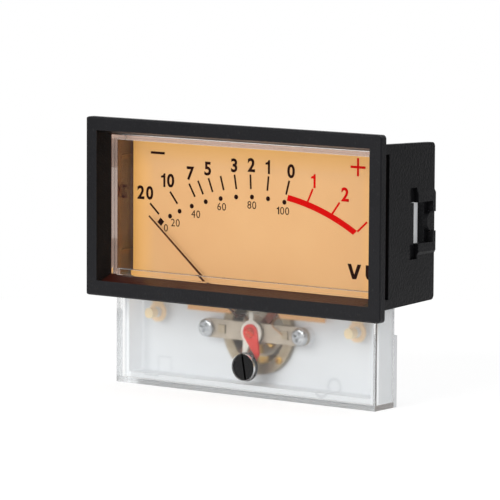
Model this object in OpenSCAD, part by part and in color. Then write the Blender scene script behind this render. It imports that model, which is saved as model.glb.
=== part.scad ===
// Analog panel meter: a black front frame with two latch wings, and a meter head that
// pushes in from behind and hangs below the frame, behind the panel.
// Origin: centre of the flange's back face. X right, Y to the rear, Z up. Millimetres.

/* [Front frame] */
// Width of the front flange
flange_w = 90; // [86:0.5:120]
// Height of the front flange
flange_h = 45; // [42:0.5:60]
// Thickness of the front flange
flange_t = 2.1; // [1.5:0.1:3]
// Radius of the flange's corners
flange_corner_r = 1; // [0.4:0.1:2]
// Bevel along the flange's front edges
flange_bevel = 0.35; // [0.1:0.05:0.8]
// Width of the flange's side borders
side_border = 3.4; // [2.4:0.1:5]
// Mean width of the flange's top and bottom borders
top_border = 3.55; // [2.4:0.05:5]
// How far the opening lies above the middle of the flange
opening_rise = 0.25; // [0:0.05:0.6]
// Gap between the end of the sloped surround and the window
sill_gap = 0.2; // [0.1:0.05:0.5]

/* [Wings and latches] */
// Thickness of the wings
wing_t = 1.4; // [1:0.1:2]
// Distance from the flange's side edge to the wing's outer face
wing_inset = 2; // [1:0.1:2.4]
// Length of the wings behind the flange
wing_len = 23.75; // [23:0.25:30]
// Distance from the flange's top edge to the wing's top edge
wing_drop = 2.5; // [1.5:0.1:4]
// How much each long edge of a wing draws in towards the rear
wing_taper = 0.75; // [0:0.05:2]
// Radius of the wing's rear corners
wing_corner_r = 1.2; // [0.5:0.1:2.5]
// Width of the slot that takes a panel clip
clip_slot_w = 2.3; // [1.5:0.1:3]
// Height of the panel clip's slot
clip_slot_h = 35; // [20:1:36]
// Distance from the flange's back to the panel clip's slot
clip_slot_y = 2; // [1:0.1:4]
// Thickness of the wall that closes the panel clip's slot inside
clip_wall_t = 0.7; // [0.5:0.05:1]
// Width of the latch window
latch_window_w = 7.8; // [7:0.1:9]
// Height of the latch window
latch_window_h = 10; // [7:0.5:13]
// Wall left behind the latch window
latch_window_margin = 1.15; // [0.8:0.05:2]
// Thickness of the raised pad round the latch window
pad_t = 0.4; // [0.2:0.05:0.8]
// Height of the raised pad
pad_h = 15.6; // [14:0.2:20]
// Length of the raised pad
pad_len = 8.05; // [7:0.05:10]
// Length of the slopes at the pad's upper and lower ends
pad_slope = 0.75; // [0.2:0.05:1.5]
// Radius of the thumb relief at the rear edge of the pad
thumb_r = 2.45; // [1.5:0.05:3]
// Distance from the wing's rear edge to the centre of the thumb relief
thumb_inset = 0.75; // [0:0.05:1.5]
// Width of the pockets at the window's front corners
pocket_w = 3; // [2:0.1:4]
// Height of the pockets at the window's front corners
pocket_h = 3.7; // [2:0.1:4.5]
// Depth of the pockets
pocket_depth = 1; // [0.4:0.1:1.2]
// How far the hooks reach behind the head
hook_grip = 0.8; // [0.5:0.1:1.2]
// Gap between a hook and the head's rear edge
hook_gap = 0.1; // [0.05:0.05:0.3]
// Thickness of the guide rails inside the wings
rail_t = 1.2; // [0.8:0.1:2]
// Distance of the guide rails from the wing's middle
rail_z = 12; // [8:0.5:14]

/* [Clear cover] */
// Gap between the wings and the sides of the meter head
head_side_gap = 1.85; // [1:0.05:2.5]
// Gap between the frame's opening and the window, above and below
head_top_gap = 1.4; // [0.8:0.05:2]
// How far the window lies above the middle of the flange
window_rise = 0.45; // [0:0.05:0.8]
// Distance from the flange's front to the window's face
window_recess = 3.8; // [3:0.1:5]
// Gap for the panel, from the flange's back to the lower cover's face
panel_gap = 3.8; // [2.5:0.1:5]
// How far the head hangs below its window part
head_drop = 27.25; // [26:0.05:34]
// Thickness of the cover's side walls
cover_wall = 1.2; // [1:0.1:1.6]
// Thickness of the cover's front faces
cover_face = 1.5; // [1:0.1:1.6]
// Distance from the panel gap to the cover's rear edge
cover_depth = 7.95; // [7.5:0.05:10]

/* [White base] */
// Distance from the flange's back to the base's rear face
base_back = 21.2; // [20.6:0.1:22]
// Thickness of the base's walls
base_wall = 1.25; // [1:0.05:1.6]
// Thickness of the base's floor
floor_t = 1.15; // [0.9:0.05:1.6]
// Gap between the base's spigot and the cover
spigot_gap = 0.1; // [0.05:0.05:0.2]
// How far the lamp box reaches below the window part
lamp_box_skirt = 0.95; // [0.5:0.05:2]
// Height of the floor's flange at the foot of the head
foot_flange_h = 17.6; // [12:0.1:20]
// Distance of the tray's rim behind the cover's lower face
tray_rim_gap = 1; // [0.3:0.05:1.5]
// Distance of the dial pegs from the sides of the head
peg_inset = 9.1; // [7:0.05:12]
// Distance of the dial pegs below the window
peg_drop = 9.3; // [8.6:0.05:10.4]
// Gap between the dial pegs' tips and the cover
peg_gap = 0.7; // [0.2:0.05:1]
// Radius of the dial pegs
peg_r = 1.3; // [1:0.05:1.6]
// Radius of the shoulders that the dial rests on
peg_shoulder_r = 1.9; // [1.7:0.05:2.4]
// Radius of the screw posts
post_r = 2.3; // [2:0.05:2.4]
// Depth of the screw posts behind the floor
post_back = 3; // [2:0.1:5]
// Floor left at the end of the screw posts' holes
post_end = 0.8; // [0.5:0.1:1.5]
// Width of the notch for the front lead
front_notch_w = 2; // [1:0.1:3]
// Width of the notch for the rear lead
rear_notch_w = 1.2; // [0.8:0.1:2]
// Wall of the round movement cup
cup_wall = 1.2; // [1:0.05:1.6]
// Gap between the movement cup and the yoke
cup_gap = 0.2; // [0.1:0.05:0.4]

/* [Dial] */
// Thickness of the dial plate
dial_t = 0.5; // [0.3:0.05:0.8]
// Distance from the window's inner face to the dial
dial_depth = 6.3; // [5.8:0.05:6.8]
// Gap round the dial plate
dial_gap = 0.15; // [0.05:0.05:0.4]
// Half the width of the dial's lower tongue
tongue_half_w = 21; // [12:0.5:24]
// Distance of the tongue's lower edge below the window
tongue_drop = 7.85; // [6:0.05:8.5]
// Distance of the dial's narrow part below the window
narrow_drop = 4.45; // [2:0.05:5]
// Radius of the dial's ears
ear_r = 2.5; // [2.2:0.1:3]
// Width of the ears' stems
ear_stem_w = 3; // [2:0.1:4]
// Radius of the arch that clears the pointer's crank
arch_r = 8.6; // [7:0.1:10]
// Thickness of the printed marks
ink_t = 0.05; // [0.02:0.01:0.1]
// Radius of the arcs that the scale is drawn on
scale_r = 64; // [50:0.5:80]
// Distance from the window's top to the arcs
scale_drop = 7.9; // [6.5:0.05:11]
// Length of the decibel ticks
tick_len = 4; // [2:0.1:5]
// Width of the decibel ticks
tick_w = 0.5; // [0.2:0.02:0.8]
// Distance from the outer arc to the row of dots
dots_inset = 5.55; // [4:0.05:7]
// Radius of the dots
dot_r = 0.6; // [0.2:0.02:0.8]
// Width of the red band
band_w = 1.5; // [0.8:0.1:3]
// Distance of the plus and minus signs from the sides of the head
sign_inset = 9.1; // [7:0.1:12]
// Distance of the plus and minus signs below the window's top
sign_drop = 4.2; // [3.5:0.1:6]
// Length of the plus and minus signs' strokes
sign_len = 4.4; // [3:0.1:5]
// Width of the plus and minus signs' strokes
sign_w = 0.6; // [0.4:0.05:1]
// Pointer angle at no signal, measured from straight up
zero_angle = -50.05; // [-55:0.05:-40]
// Slope of the scale, degrees for each unit of signal
scale_gain = 85.25; // [70:0.25:95]
// Degrees lost to the rectifier at small signals
knee_angle = 20.35; // [5:0.05:30]
// Signal at which that loss sets in
knee_signal = 0.307; // [0.1:0.001:0.6]
// Degrees that the scale's end is crowded, for each squared unit of signal
end_crowding = 33; // [0:1:60]
// Signal beyond which the scale crowds
crowding_start = 1.2; // [1.1:0.01:1.3]
// Angle from the resting pointer to the zero mark
rest_lag = 0.65; // [0:0.05:1.5]

/* [Movement] */
// Distance of the pivot below the window
pivot_drop = 11.8; // [11.4:0.05:13]
// Distance from the lower cover's inner face to the front bridge
bridge_depth = 3.5; // [3.2:0.05:3.8]
// Thickness of the bridges
bridge_t = 1; // [0.8:0.05:1.3]
// Height of the front bridge
bridge_h = 4.6; // [3.6:0.1:5]
// Distance of the bridge screws from the pivot
screw_x = 14.3; // [14:0.05:16]
// Radius of the bridge screws' heads
screw_head_r = 2.25; // [1.8:0.05:2.3]
// Height of the bridge screws' heads
screw_head_h = 1.1; // [0.8:0.1:1.6]
// Radius of the bridge screws' threads
screw_r = 1.2; // [0.9:0.05:1.4]
// Length of the bridge screws below their heads
screw_len = 6; // [4:0.1:6.5]
// Distance of the yoke's tenons from the pivot
tenon_x = 9.6; // [9.2:0.05:9.8]
// Width of the square tenons
tenon_w = 2.1; // [1.4:0.1:2.4]
// How far the tenons stand out of the front bridge
tenon_proud = 0.4; // [0.1:0.05:0.6]
// Radius of the tenons' round ends in the yoke
tenon_pin_r = 0.6; // [0.4:0.05:0.7]
// Length of the tenons' round ends in the yoke
tenon_pin_len = 1.8; // [1:0.1:2.5]
// Gap between the front bridge and the yoke
yoke_gap = 0.7; // [0.5:0.05:1]
// Outer radius of the yoke ring
yoke_r = 10.7; // [10.6:0.05:11.2]
// Inner radius of the yoke ring
yoke_bore_r = 8.15; // [7.9:0.05:8.6]
// Length of the yoke ring
yoke_len = 9.8; // [9.6:0.1:10.4]
// Radius of the core magnet
core_r = 6.4; // [5.6:0.1:6.5]
// Length of the core magnet
core_len = 5.5; // [4:0.1:5.6]
// Width of the core spacers
spacer_w = 2.8; // [2:0.1:3.4]
// Radius of the shunt screw's head
shunt_head_r = 0.95; // [0.7:0.05:1.1]
// Radius of the rear bridge screws' heads
rear_head_r = 1; // [0.8:0.05:1.1]
// Radius of the rear bridge screws' threads
rear_screw_r = 0.6; // [0.4:0.05:0.7]
// Air gap between the core and the coil
air_gap = 0.35; // [0.25:0.05:0.5]
// Thickness of the coil former
former_t = 0.3; // [0.2:0.05:0.4]
// Width of the coil former
former_w = 2.6; // [2:0.1:3]
// Thickness of the winding
winding_t = 0.7; // [0.4:0.05:0.75]
// Width of the winding
winding_w = 2.2; // [1.6:0.1:2.4]
// Radius of the pivots
pivot_r = 0.35; // [0.25:0.01:0.4]
// Clearance of the pivots in their jewels
pivot_clearance = 0.08; // [0.04:0.01:0.1]
// Radius of the jewel screws
jewel_screw_r = 1.2; // [1:0.05:1.4]
// Clearance of screws and pins in their threads and holes
thread_gap = 0.03; // [0.01:0.01:0.05]
// Height of the hairsprings' strip
hairspring_h = 0.4; // [0.2:0.05:0.45]
// Thickness of the hairsprings' strip
hairspring_t = 0.1; // [0.06:0.01:0.16]
// Turns of the hairsprings
hairspring_turns = 5; // [3:1:7]
// Thickness of the pointer's arm
pointer_t = 0.4; // [0.25:0.05:0.45]
// Thickness of the needle in front of the dial
needle_t = 0.3; // [0.2:0.05:0.4]
// Distance from the dial to the needle
needle_gap = 1.55; // [1.2:0.05:2]
// Width of the needle at its root
needle_w = 0.55; // [0.3:0.05:0.8]
// Width of the needle at its tip
needle_tip_w = 0.3; // [0.2:0.05:0.5]
// Length of the pointer from the pivot
pointer_len = 41.8; // [38:0.1:44]
// Radius at which the pointer cranks forward through the dial
crank_r = 5.7; // [5.6:0.05:6]
// Radius of the balance weights
weight_r = 0.75; // [0.5:0.05:0.8]
// Length of the balance weights
weight_len = 2.2; // [1:0.1:2.6]

/* [Zero adjustment] */
// Distance of the adjuster below the pivot
adjuster_drop = 8.3; // [8:0.05:9]
// Radius of the adjuster's head
adjuster_r = 3.25; // [2.6:0.05:3.6]
// How far the adjuster's face lies behind the cover's face
adjuster_recess = 0.45; // [-0.4:0.05:0.6]
// Clearance of the adjuster's head in the cover
adjuster_clearance = 0.1; // [0.05:0.01:0.1]
// How far the adjuster's collar reaches past its head
collar_reach = 0.35; // [0.2:0.05:1]
// Thickness of the adjuster's collar
collar_t = 0.5; // [0.4:0.05:0.6]
// Width of the adjuster's slot
slot_w = 0.6; // [0.4:0.05:0.9]
// Depth of the adjuster's slot
slot_depth = 0.8; // [0.4:0.05:0.9]
// Tilt of the adjuster's slot
slot_tilt = -10; // [-90:1:90]
// Eccentricity of the adjuster's pin
pin_throw = 0.9; // [0.6:0.05:1.1]
// Radius of the adjuster's pin
pin_r = 0.5; // [0.4:0.05:0.6]
// Clearance of the pin between the prongs
pin_clearance = 0.12; // [0.1:0.01:0.2]
// Thickness of the zero fork and of the zero lever
lever_t = 0.45; // [0.35:0.05:0.5]
// Radius of the zero fork's ring
fork_ring_r = 3.05; // [2.9:0.05:3.4]
// Radius of the zero lever's head
lever_head_r = 2.15; // [2:0.05:2.7]
// Clearance of the ring and the lever on the jewel screw
lever_clearance = 0.08; // [0.04:0.01:0.1]
// Width of the fork's stem
stem_w = 1.2; // [0.8:0.05:1.6]
// Radius that the fork's stem reaches to
stem_reach = 5; // [4.6:0.05:5.1]

/* [Lamps and terminals] */
// Distance of the lamps from the middle
lamp_x = 19; // [12:0.5:26]
// Radius of the lamps
lamp_r = 1.6; // [1.2:0.1:2.2]
// Length of the lamps
lamp_len = 8.5; // [6:0.1:9]
// Wall of the lamps' grommets
grommet_wall = 0.95; // [0.7:0.05:1.4]
// Thickness of the grommets' flanges
grommet_flange_t = 0.8; // [0.5:0.1:1.2]
// Radius of the lamps' pins
lamp_pin_r = 0.3; // [0.2:0.05:0.4]
// Length of the lamps' pins
lamp_pin_len = 3.2; // [2:0.1:5]
// Distance of the terminals from the middle
terminal_x = 6; // [4:0.5:10]
// Distance of the terminals above the window's lower edge
terminal_rise = 5.55; // [4.5:0.05:8]
// Width of the terminals
terminal_w = 2.4; // [1.6:0.1:3]
// Thickness of the terminals
terminal_t = 0.6; // [0.4:0.05:1]
// How far the terminals stand out behind the base
terminal_out = 5.4; // [3:0.1:8]
// Radius of the holes in the terminals
terminal_hole_r = 0.6; // [0.4:0.05:0.8]
// Radius of the lead wires
wire_r = 0.15; // [0.1:0.01:0.18]

/* [Hidden] */
$fn = 64;
e = 0.01;                                        // overlap that keeps cuts clean

// Front frame
opening_w = flange_w - 2 * side_border;
opening_h = flange_h - 2 * top_border;
wing_outer_x = flange_w / 2 - wing_inset;
wing_inner_x = wing_outer_x - wing_t;
wing_half_h = flange_h / 2 - wing_drop;
latch_window_y = wing_len - latch_window_margin - latch_window_w;
opening_low = opening_rise - opening_h / 2;
opening_high = opening_rise + opening_h / 2;

// Meter head
head_half_w = wing_inner_x - head_side_gap;
window_y = window_recess - flange_t;
window_top = opening_h / 2 - head_top_gap;
head_top = window_top + window_rise;
step_z = window_rise - window_top;               // where the window part ends below
head_bottom = -window_top - head_drop;
cover_back = panel_gap + cover_depth;
window_inner_y = window_y + cover_face;
lower_inner_y = panel_gap + cover_face;
dial_y = window_inner_y + dial_depth;
dial_back = dial_y + dial_t;
spigot_inset = cover_wall + spigot_gap;
spigot_half_w = head_half_w - spigot_inset;
tray_half_w = spigot_half_w - base_wall;
spigot_bottom = head_bottom + spigot_inset;
spigot_top = head_top - spigot_inset;
sill_y = window_y - 0.05;                        // end of the sloped surround
sill_half_w = head_half_w + sill_gap;
sill_half_h = wing_half_h - 0.3;
lamp_box_bottom = -window_top - lamp_box_skirt;
tray_rim_y = lower_inner_y + tray_rim_gap;
peg_x = head_half_w - peg_inset;
peg_z = -window_top - peg_drop;
terminal_z = -window_top + terminal_rise;
floor_y = cover_back + spigot_gap;
floor_back = floor_y + floor_t;

// Movement, front to rear
pivot_z = -window_top - pivot_drop;
bridge_y = lower_inner_y + bridge_depth;
bridge_back = bridge_y + bridge_t;
yoke_y = bridge_back + yoke_gap;
yoke_back = yoke_y + yoke_len;
hairspring_y = bridge_back + 0.2;
arm_y = hairspring_y + hairspring_h + 0.25;
winding_y = arm_y + pointer_t + 0.15;
former_y = winding_y + winding_t;
core_y = former_y + former_t + air_gap;
core_back = core_y + core_len;
former_back = core_back + air_gap + former_t;
winding_back = former_back + winding_t;
former_half = core_r + air_gap;
rear_bridge_back = yoke_back + bridge_t;
rear_hairspring_y = yoke_back - 0.2 - hairspring_h;
rear_screw_back = rear_bridge_back + 0.6;
cup_r = yoke_r + cup_gap;
cup_inner_back = rear_screw_back + 0.2;
pivot_depth = 0.6;                               // how far a pivot enters its jewel screw
collet_r = 0.7;                                  // hairspring collets on the pivots
anchor_r = stem_reach - lever_t;                 // where the hairsprings' outer ends are held
shunt_r = (yoke_bore_r + yoke_r) / 2;            // place of the shunt screw, from the pivot
shunt_angle = 135;
tenon_shoulder = 0.2;                            // shoulder of the tenons against the bridge
screw_boss = 1;                                  // wall round the front jewel screw

// Zero adjustment
fork_y = bridge_y - 0.6 - lever_t;
lever_y = fork_y - lever_t;
lever_bore_r = jewel_screw_r + lever_clearance;
adjuster_z = pivot_z - adjuster_drop;
adjuster_face = panel_gap + adjuster_recess;
collar_y = lower_inner_y + 0.1;
pin_z = -adjuster_drop - pin_throw;              // from the pivot
prong_w = 1.1;
prong_x = pin_r + pin_clearance + prong_w / 2;
prong_end = pin_z - pin_r - 0.6;
prong_top = pin_z + 1.8;
fork_knee = [-2, pin_z + 3.8];                   // bends of the fork and of the lever
lever_knee = [2.1, pin_z + 4];

// Needle
needle_y = dial_y - needle_gap - needle_t / 2;
weight_angles = [135, 180, 225];                 // from the pointer
weight_end = 5.5;                                // radius that the weights reach to
weight_y = hairspring_y + hairspring_h + 0.1 + weight_r;
scale_centre_z = window_top - scale_drop - scale_r;
decibels = [-20, -10, -7, -6, -5, -4, -3, -2, -1, 0, 1, 2, 3];
percents = [20, 30, 40, 50, 60, 70, 80, 90, 100];
grommet_r = lamp_r + grommet_wall;

// Lead wires
front_lead_x = 9.5;                              // where they pass into the lamp box
rear_lead_x = -3;
solder_z = terminal_z - terminal_t / 2 - wire_r; // where the leads meet the terminals
front_lead_path = [
    [9.2, 8.25, pivot_z + 0.15], [8, 8.2, pivot_z + 0.85], [6.5, 8.2, pivot_z + 1.85],
    [5.8, 8.7, pivot_z + 2.55], [5.65, 9.75, pivot_z + 3.25], [6.2, 10.25, pivot_z + 3.85],
    [8, 10.25, pivot_z + 5.15], [9.4, 10.25, pivot_z + 8.35],
    [front_lead_x, 10.4, lamp_box_bottom + 0.5], [9.4, 11.2, lamp_box_bottom + 2.3],
    [8.6, 14, solder_z - 1.55], [7, 17.5, solder_z - 0.45], [terminal_x, 19.3, solder_z]
];
rear_lead_path = [
    [rear_lead_x, 20.8, pivot_z + 2.3], [rear_lead_x, 20.8, pivot_z + 6.35],
    [rear_lead_x, 20.8, lamp_box_bottom - 1.7], [rear_lead_x, 20.55, lamp_box_bottom - 0.6],
    [rear_lead_x, 19.9, lamp_box_bottom + 0.3], [rear_lead_x, 19.5, lamp_box_bottom + 1.3],
    [-3.3, 19.3, solder_z - 3.55], [-4.9, 19.2, solder_z - 1.45],
    [-terminal_x, 19.3, solder_z]
];

// ---- Shared shapes ----

// Box between two corners
module block(x0, x1, y0, y1, z0, z1)
    translate([x0, y0, z0]) cube([x1 - x0, y1 - y0, z1 - z0]);

// A flat outline drawn in X and Z, solid from y0 to y1
module along_y(y0, y1)
    translate([0, y1, 0]) rotate([90, 0, 0]) linear_extrude(y1 - y0) children();

// A flat outline drawn in Y and Z, solid from x0 to x1
module along_x(x0, x1)
    translate([x0, 0, 0]) rotate([90, 0, 90]) linear_extrude(x1 - x0) children();

// Round bar along Y
module rod(r, y0, y1, x = 0, z = 0)
    translate([x, y1, z]) rotate([90, 0, 0]) cylinder(r = r, h = y1 - y0);

module rounded_rect(w, h, r) {
    square([w - 2 * r, h], center = true);
    square([w, h - 2 * r], center = true);
    for (x = [-1, 1], z = [-1, 1])
        translate([x * (w / 2 - r), z * (h / 2 - r)]) circle(r, $fn = 32);
}

// Two round ends joined along their common tangents
module tapered_strip(a, ra, b, rb) {
    d = b - a;
    lean = asin((ra - rb) / norm(d));
    left = atan2(d[1], d[0]) + 90 - lean;
    right = atan2(d[1], d[0]) - 90 + lean;
    steps = 16;
    function on(centre, r, angle) = centre + r * [cos(angle), sin(angle)];
    polygon([
        for (i = [0:steps]) on(b, rb, right + (left - right) * i / steps),
        for (i = [0:steps]) on(a, ra, left + (right + 360 - left) * i / steps)
    ]);
}

module strip(a, b, w) tapered_strip(a, w / 2, b, w / 2);

module both_sides() {
    children();
    mirror([1, 0, 0]) children();
}

// Turns a piece about the pivot, clockwise as seen from the front
module about_pivot(angle = 0)
    translate([0, 0, pivot_z]) rotate([0, angle, 0]) children();

// ---- Front frame ----

module flange_outline()
    rounded_rect(flange_w, flange_h, flange_corner_r);

// Outline of a plate of half width h, bevelled at its front edges
module bevelled_profile(h)
    polygon([
        [-h + flange_bevel, -flange_t], [h - flange_bevel, -flange_t],
        [h, -flange_t + flange_bevel], [h, e], [-h, e], [-h, -flange_t + flange_bevel]
    ]);

module flange()
    intersection() {
        along_y(-flange_t, 0) flange_outline();
        translate([0, 0, -flange_h])
            linear_extrude(2 * flange_h) bevelled_profile(flange_w / 2);
        translate([-flange_w, 0, 0]) rotate([0, 90, 0])
            linear_extrude(2 * flange_w) bevelled_profile(flange_h / 2);
    }

// Wing seen from the side, its rear corners rounded
module wing_outline() {
    rear = wing_half_h - wing_taper;
    slope = atan2(wing_taper, wing_len);
    r = wing_corner_r;
    polygon([
        [-e, -wing_half_h], [-e, wing_half_h],
        for (a = [90 - slope:-15:0]) [wing_len - r + r * cos(a), rear - r + r * sin(a)],
        for (a = [0:-15:slope - 90]) [wing_len - r + r * cos(a), -rear + r + r * sin(a)]
    ]);
}

// Hook that catches the head's rear edge, with a lead-in behind
module hook() {
    front = base_back + hook_gap;
    tip = head_half_w - hook_grip;
    hook_h = latch_window_h + 1.2;
    translate([0, 0, -hook_h / 2]) linear_extrude(hook_h)
        polygon([
            [wing_inner_x + e, front], [tip, front], [tip, front + 0.5],
            [wing_inner_x - 0.6, wing_len], [wing_inner_x + e, wing_len]
        ]);
}

// Raised pad seen from the rear, with sloping ends
module pad_outline() {
    top = pad_h / 2;
    polygon([
        [wing_outer_x - e, -top], [wing_outer_x + pad_t, pad_slope - top],
        [wing_outer_x + pad_t, top - pad_slope], [wing_outer_x - e, top]
    ]);
}

module wing() {
    difference() {
        union() {
            along_x(wing_inner_x, wing_outer_x) wing_outline();
            along_y(wing_len - pad_len, wing_len) pad_outline();
        }
        // slot for the panel clip
        block(wing_inner_x - 0.5, wing_outer_x + 1, clip_slot_y, clip_slot_y + clip_slot_w,
              -clip_slot_h / 2, clip_slot_h / 2);
        // latch window, with the thumb relief left standing in it
        difference() {
            block(wing_inner_x - 1, wing_outer_x + pad_t + 1, latch_window_y,
                  latch_window_y + latch_window_w, -latch_window_h / 2, latch_window_h / 2);
            along_x(wing_inner_x - 2, wing_outer_x)
                translate([wing_len - thumb_inset, 0]) circle(thumb_r);
        }
        // the pad is cut away over the thumb relief
        along_x(wing_outer_x, wing_outer_x + pad_t + 1)
            translate([wing_len - thumb_inset, 0]) circle(thumb_r);
        // blind pockets at the window's front corners
        for (s = [-1, 1])
            translate([wing_outer_x - pocket_depth, latch_window_y - pocket_w / 2,
                       s * (latch_window_h / 2 + pocket_h / 2) - pocket_h / 2])
                cube([pocket_depth + pad_t + 1, pocket_w, pocket_h]);
    }
    hook();
    // wall behind the panel clip's slot
    block(sill_half_w, sill_half_w + clip_wall_t, sill_y - e, clip_slot_y + clip_slot_w + 1.6,
          -clip_slot_h / 2 - 0.6, clip_slot_h / 2 + 0.6);
    for (z = [-rail_z, rail_z])
        block(head_half_w + spigot_gap, wing_inner_x + e, clip_slot_y + clip_slot_w + 1.5,
              base_back, z - rail_t / 2, z + rail_t / 2);
}

// The opening narrows from the flange's front towards the window
module opening() {
    block(-opening_w / 2, opening_w / 2, -flange_t - 1, -flange_t + e,
          opening_low, opening_high);
    block(-sill_half_w, sill_half_w, sill_y - e, sill_y + 1,
          step_z - sill_gap, head_top + sill_gap);
    intersection() {
        along_x(-flange_w, flange_w)
            polygon([
                [-flange_t, opening_low], [-flange_t, opening_high],
                [sill_y, head_top + sill_gap], [sill_y, step_z - sill_gap]
            ]);
        translate([0, 0, -flange_h]) linear_extrude(2 * flange_h)
            polygon([
                [-opening_w / 2, -flange_t], [opening_w / 2, -flange_t],
                [sill_half_w, sill_y], [-sill_half_w, sill_y]
            ]);
    }
}

module front_frame()
    color([0.17, 0.17, 0.19]) {
        difference() {
            union() {
                flange();
                block(-wing_inner_x - e, wing_inner_x + e, -e, sill_y,
                      -sill_half_h, sill_half_h);
            }
            opening();
        }
        both_sides() wing();
    }

// ---- Meter head ----

// Stepped block of the head: the window part stands forward of the lower part
module stepped_head(inset, window_front, lower_front, back)
    union() {
        block(-head_half_w + inset, head_half_w - inset, window_front, back,
              step_z + inset, head_top - inset);
        block(-head_half_w + inset, head_half_w - inset, lower_front, back,
              head_bottom + inset, head_top - inset);
    }

module clear_cover()
    color([0.85, 0.88, 0.9, 0.35])
        difference() {
            stepped_head(0, window_y, panel_gap, cover_back);
            stepped_head(cover_wall, window_inner_y, lower_inner_y, cover_back + 1);
            rod(adjuster_r + adjuster_clearance, panel_gap - 1, lower_inner_y + 1,
                0, adjuster_z);
        }

// Outer body of the base: lamp box, spigot, tray, cup and posts
module base_body() {
    // lamp box behind the window
    block(-head_half_w, head_half_w, floor_y, base_back, lamp_box_bottom, head_top);
    block(-spigot_half_w, spigot_half_w, dial_back, base_back, lamp_box_bottom, spigot_top);
    // tray of the lower head
    block(-spigot_half_w, spigot_half_w, tray_rim_y, floor_back,
          spigot_bottom, lamp_box_bottom + base_wall);
    block(-head_half_w, head_half_w, floor_y, floor_back,
          head_bottom, head_bottom + foot_flange_h);
    // round cup for the movement
    rod(cup_r + cup_wall, floor_y, cup_inner_back + cup_wall, 0, pivot_z);
}

module rear_base()
    color([0.93, 0.94, 0.95])
        difference() {
            union() {
                difference() {
                    base_body();
                    block(-tray_half_w, tray_half_w, dial_back - 1, base_back - base_wall,
                          lamp_box_bottom + base_wall, spigot_top - base_wall);
                    block(-tray_half_w, tray_half_w, tray_rim_y - 1, floor_y,
                          spigot_bottom + base_wall, lamp_box_bottom);
                    // thinner side and top walls behind the spigot
                    block(-spigot_half_w, spigot_half_w, floor_y + base_wall,
                          base_back - base_wall, lamp_box_bottom + base_wall, spigot_top);
                    // the walls step back where the dial spans them
                    block(-head_half_w, head_half_w, tray_rim_y - 1, dial_back,
                          lamp_box_bottom - dial_gap, head_top);
                }
                both_sides() {
                    rod(peg_shoulder_r, dial_back, floor_y + e, peg_x, peg_z);
                    rod(peg_r, lower_inner_y + peg_gap, dial_back + e, peg_x, peg_z);
                    rod(post_r, bridge_back, floor_back + post_back, screw_x, pivot_z);
                }
            }
            // seat of the movement
            rod(cup_r, tray_rim_y, cup_inner_back, 0, pivot_z);
            both_sides() {
                rod(screw_r + thread_gap, bridge_back - 1, floor_back + post_back - post_end,
                    screw_x, pivot_z);
                rod(grommet_r + thread_gap, base_back - base_wall - 1, base_back + 1, lamp_x);
                block(terminal_x - terminal_w / 2 - thread_gap,
                      terminal_x + terminal_w / 2 + thread_gap,
                      base_back - base_wall - 1, base_back + 1,
                      terminal_z - terminal_t / 2 - thread_gap,
                      terminal_z + terminal_t / 2 + thread_gap);
            }
            // ways for the lead wires
            block(front_lead_x - front_notch_w / 2, front_lead_x + front_notch_w / 2,
                  dial_back - 1, dial_back + 1.2,
                  lamp_box_bottom - 1, lamp_box_bottom + base_wall + 1);
            block(rear_lead_x - rear_notch_w / 2, rear_lead_x + rear_notch_w / 2,
                  base_back - base_wall - 3, base_back - 0.4,
                  pivot_z + yoke_r - 1, lamp_box_bottom + base_wall + 0.1);
        }

// ---- Dial ----

module dial_outline()
    difference() {
        union() {
            low = lamp_box_bottom;
            top = spigot_top - dial_gap;
            half = spigot_half_w;
            narrow_half = tray_half_w - dial_gap;
            narrow_z = -window_top - narrow_drop;
            tongue_z = -window_top - tongue_drop;
            translate([-half, low]) square([2 * half, top - low]);
            translate([-narrow_half, narrow_z]) square([2 * narrow_half, low - narrow_z + e]);
            translate([-tongue_half_w, tongue_z])
                square([2 * tongue_half_w, narrow_z - tongue_z + e]);
            for (x = [-peg_x, peg_x]) {
                translate([x, peg_z]) circle(ear_r);
                translate([x - ear_stem_w / 2, peg_z])
                    square([ear_stem_w, narrow_z - peg_z + e]);
            }
        }
        for (x = [-peg_x, peg_x])
            translate([x, peg_z]) circle(peg_r + spigot_gap);
        translate([0, pivot_z]) circle(arch_r);
    }

module dial_plate()
    color([0.93, 0.73, 0.5]) along_y(dial_y, dial_back) dial_outline();

function tanh(x) = (exp(x) - exp(-x)) / (exp(x) + exp(-x));

// Pointer angle for a signal, 1 being full scale at 0 dB
function signal_angle(s) =
    zero_angle + scale_gain * s - knee_angle * tanh(s / knee_signal)
    - end_crowding * pow(max(0, s - crowding_start), 2);
function signal_of(decibel) = pow(10, decibel / 20);

// Where a ray from the pivot meets an arc of the scale
function arc_point(angle, r) =
    let (d = [sin(angle), cos(angle)],
         o = [0, pivot_z - scale_centre_z],
         b = d * o,
         t = -b + sqrt(b * b - o * o + r * r))
    [0, pivot_z] + t * d;

module ink() along_y(dial_y - ink_t, dial_y) children();

module tick(decibel) {
    angle = signal_angle(signal_of(decibel));
    outer = arc_point(angle, scale_r);
    inner = arc_point(angle, scale_r - tick_len + 0.4);
    translate(inner) rotate(-angle) translate([-tick_w / 2, 0])
        square([tick_w, norm(outer - inner)]);
}

module scale_black()
    color([0.1, 0.08, 0.07]) ink() {
        for (decibel = decibels) if (decibel <= 0) tick(decibel);
        for (percent = percents)
            translate(arc_point(signal_angle(percent / 100), scale_r - dots_inset))
                circle(dot_r, $fn = 20);
        translate(arc_point(zero_angle + rest_lag, scale_r - dots_inset)) rotate(-zero_angle)
            square(2 * dot_r + 0.3, center = true);
        // minus sign
        translate([sign_inset - head_half_w, window_top - sign_drop])
            square([sign_len, sign_w], center = true);
    }

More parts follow.
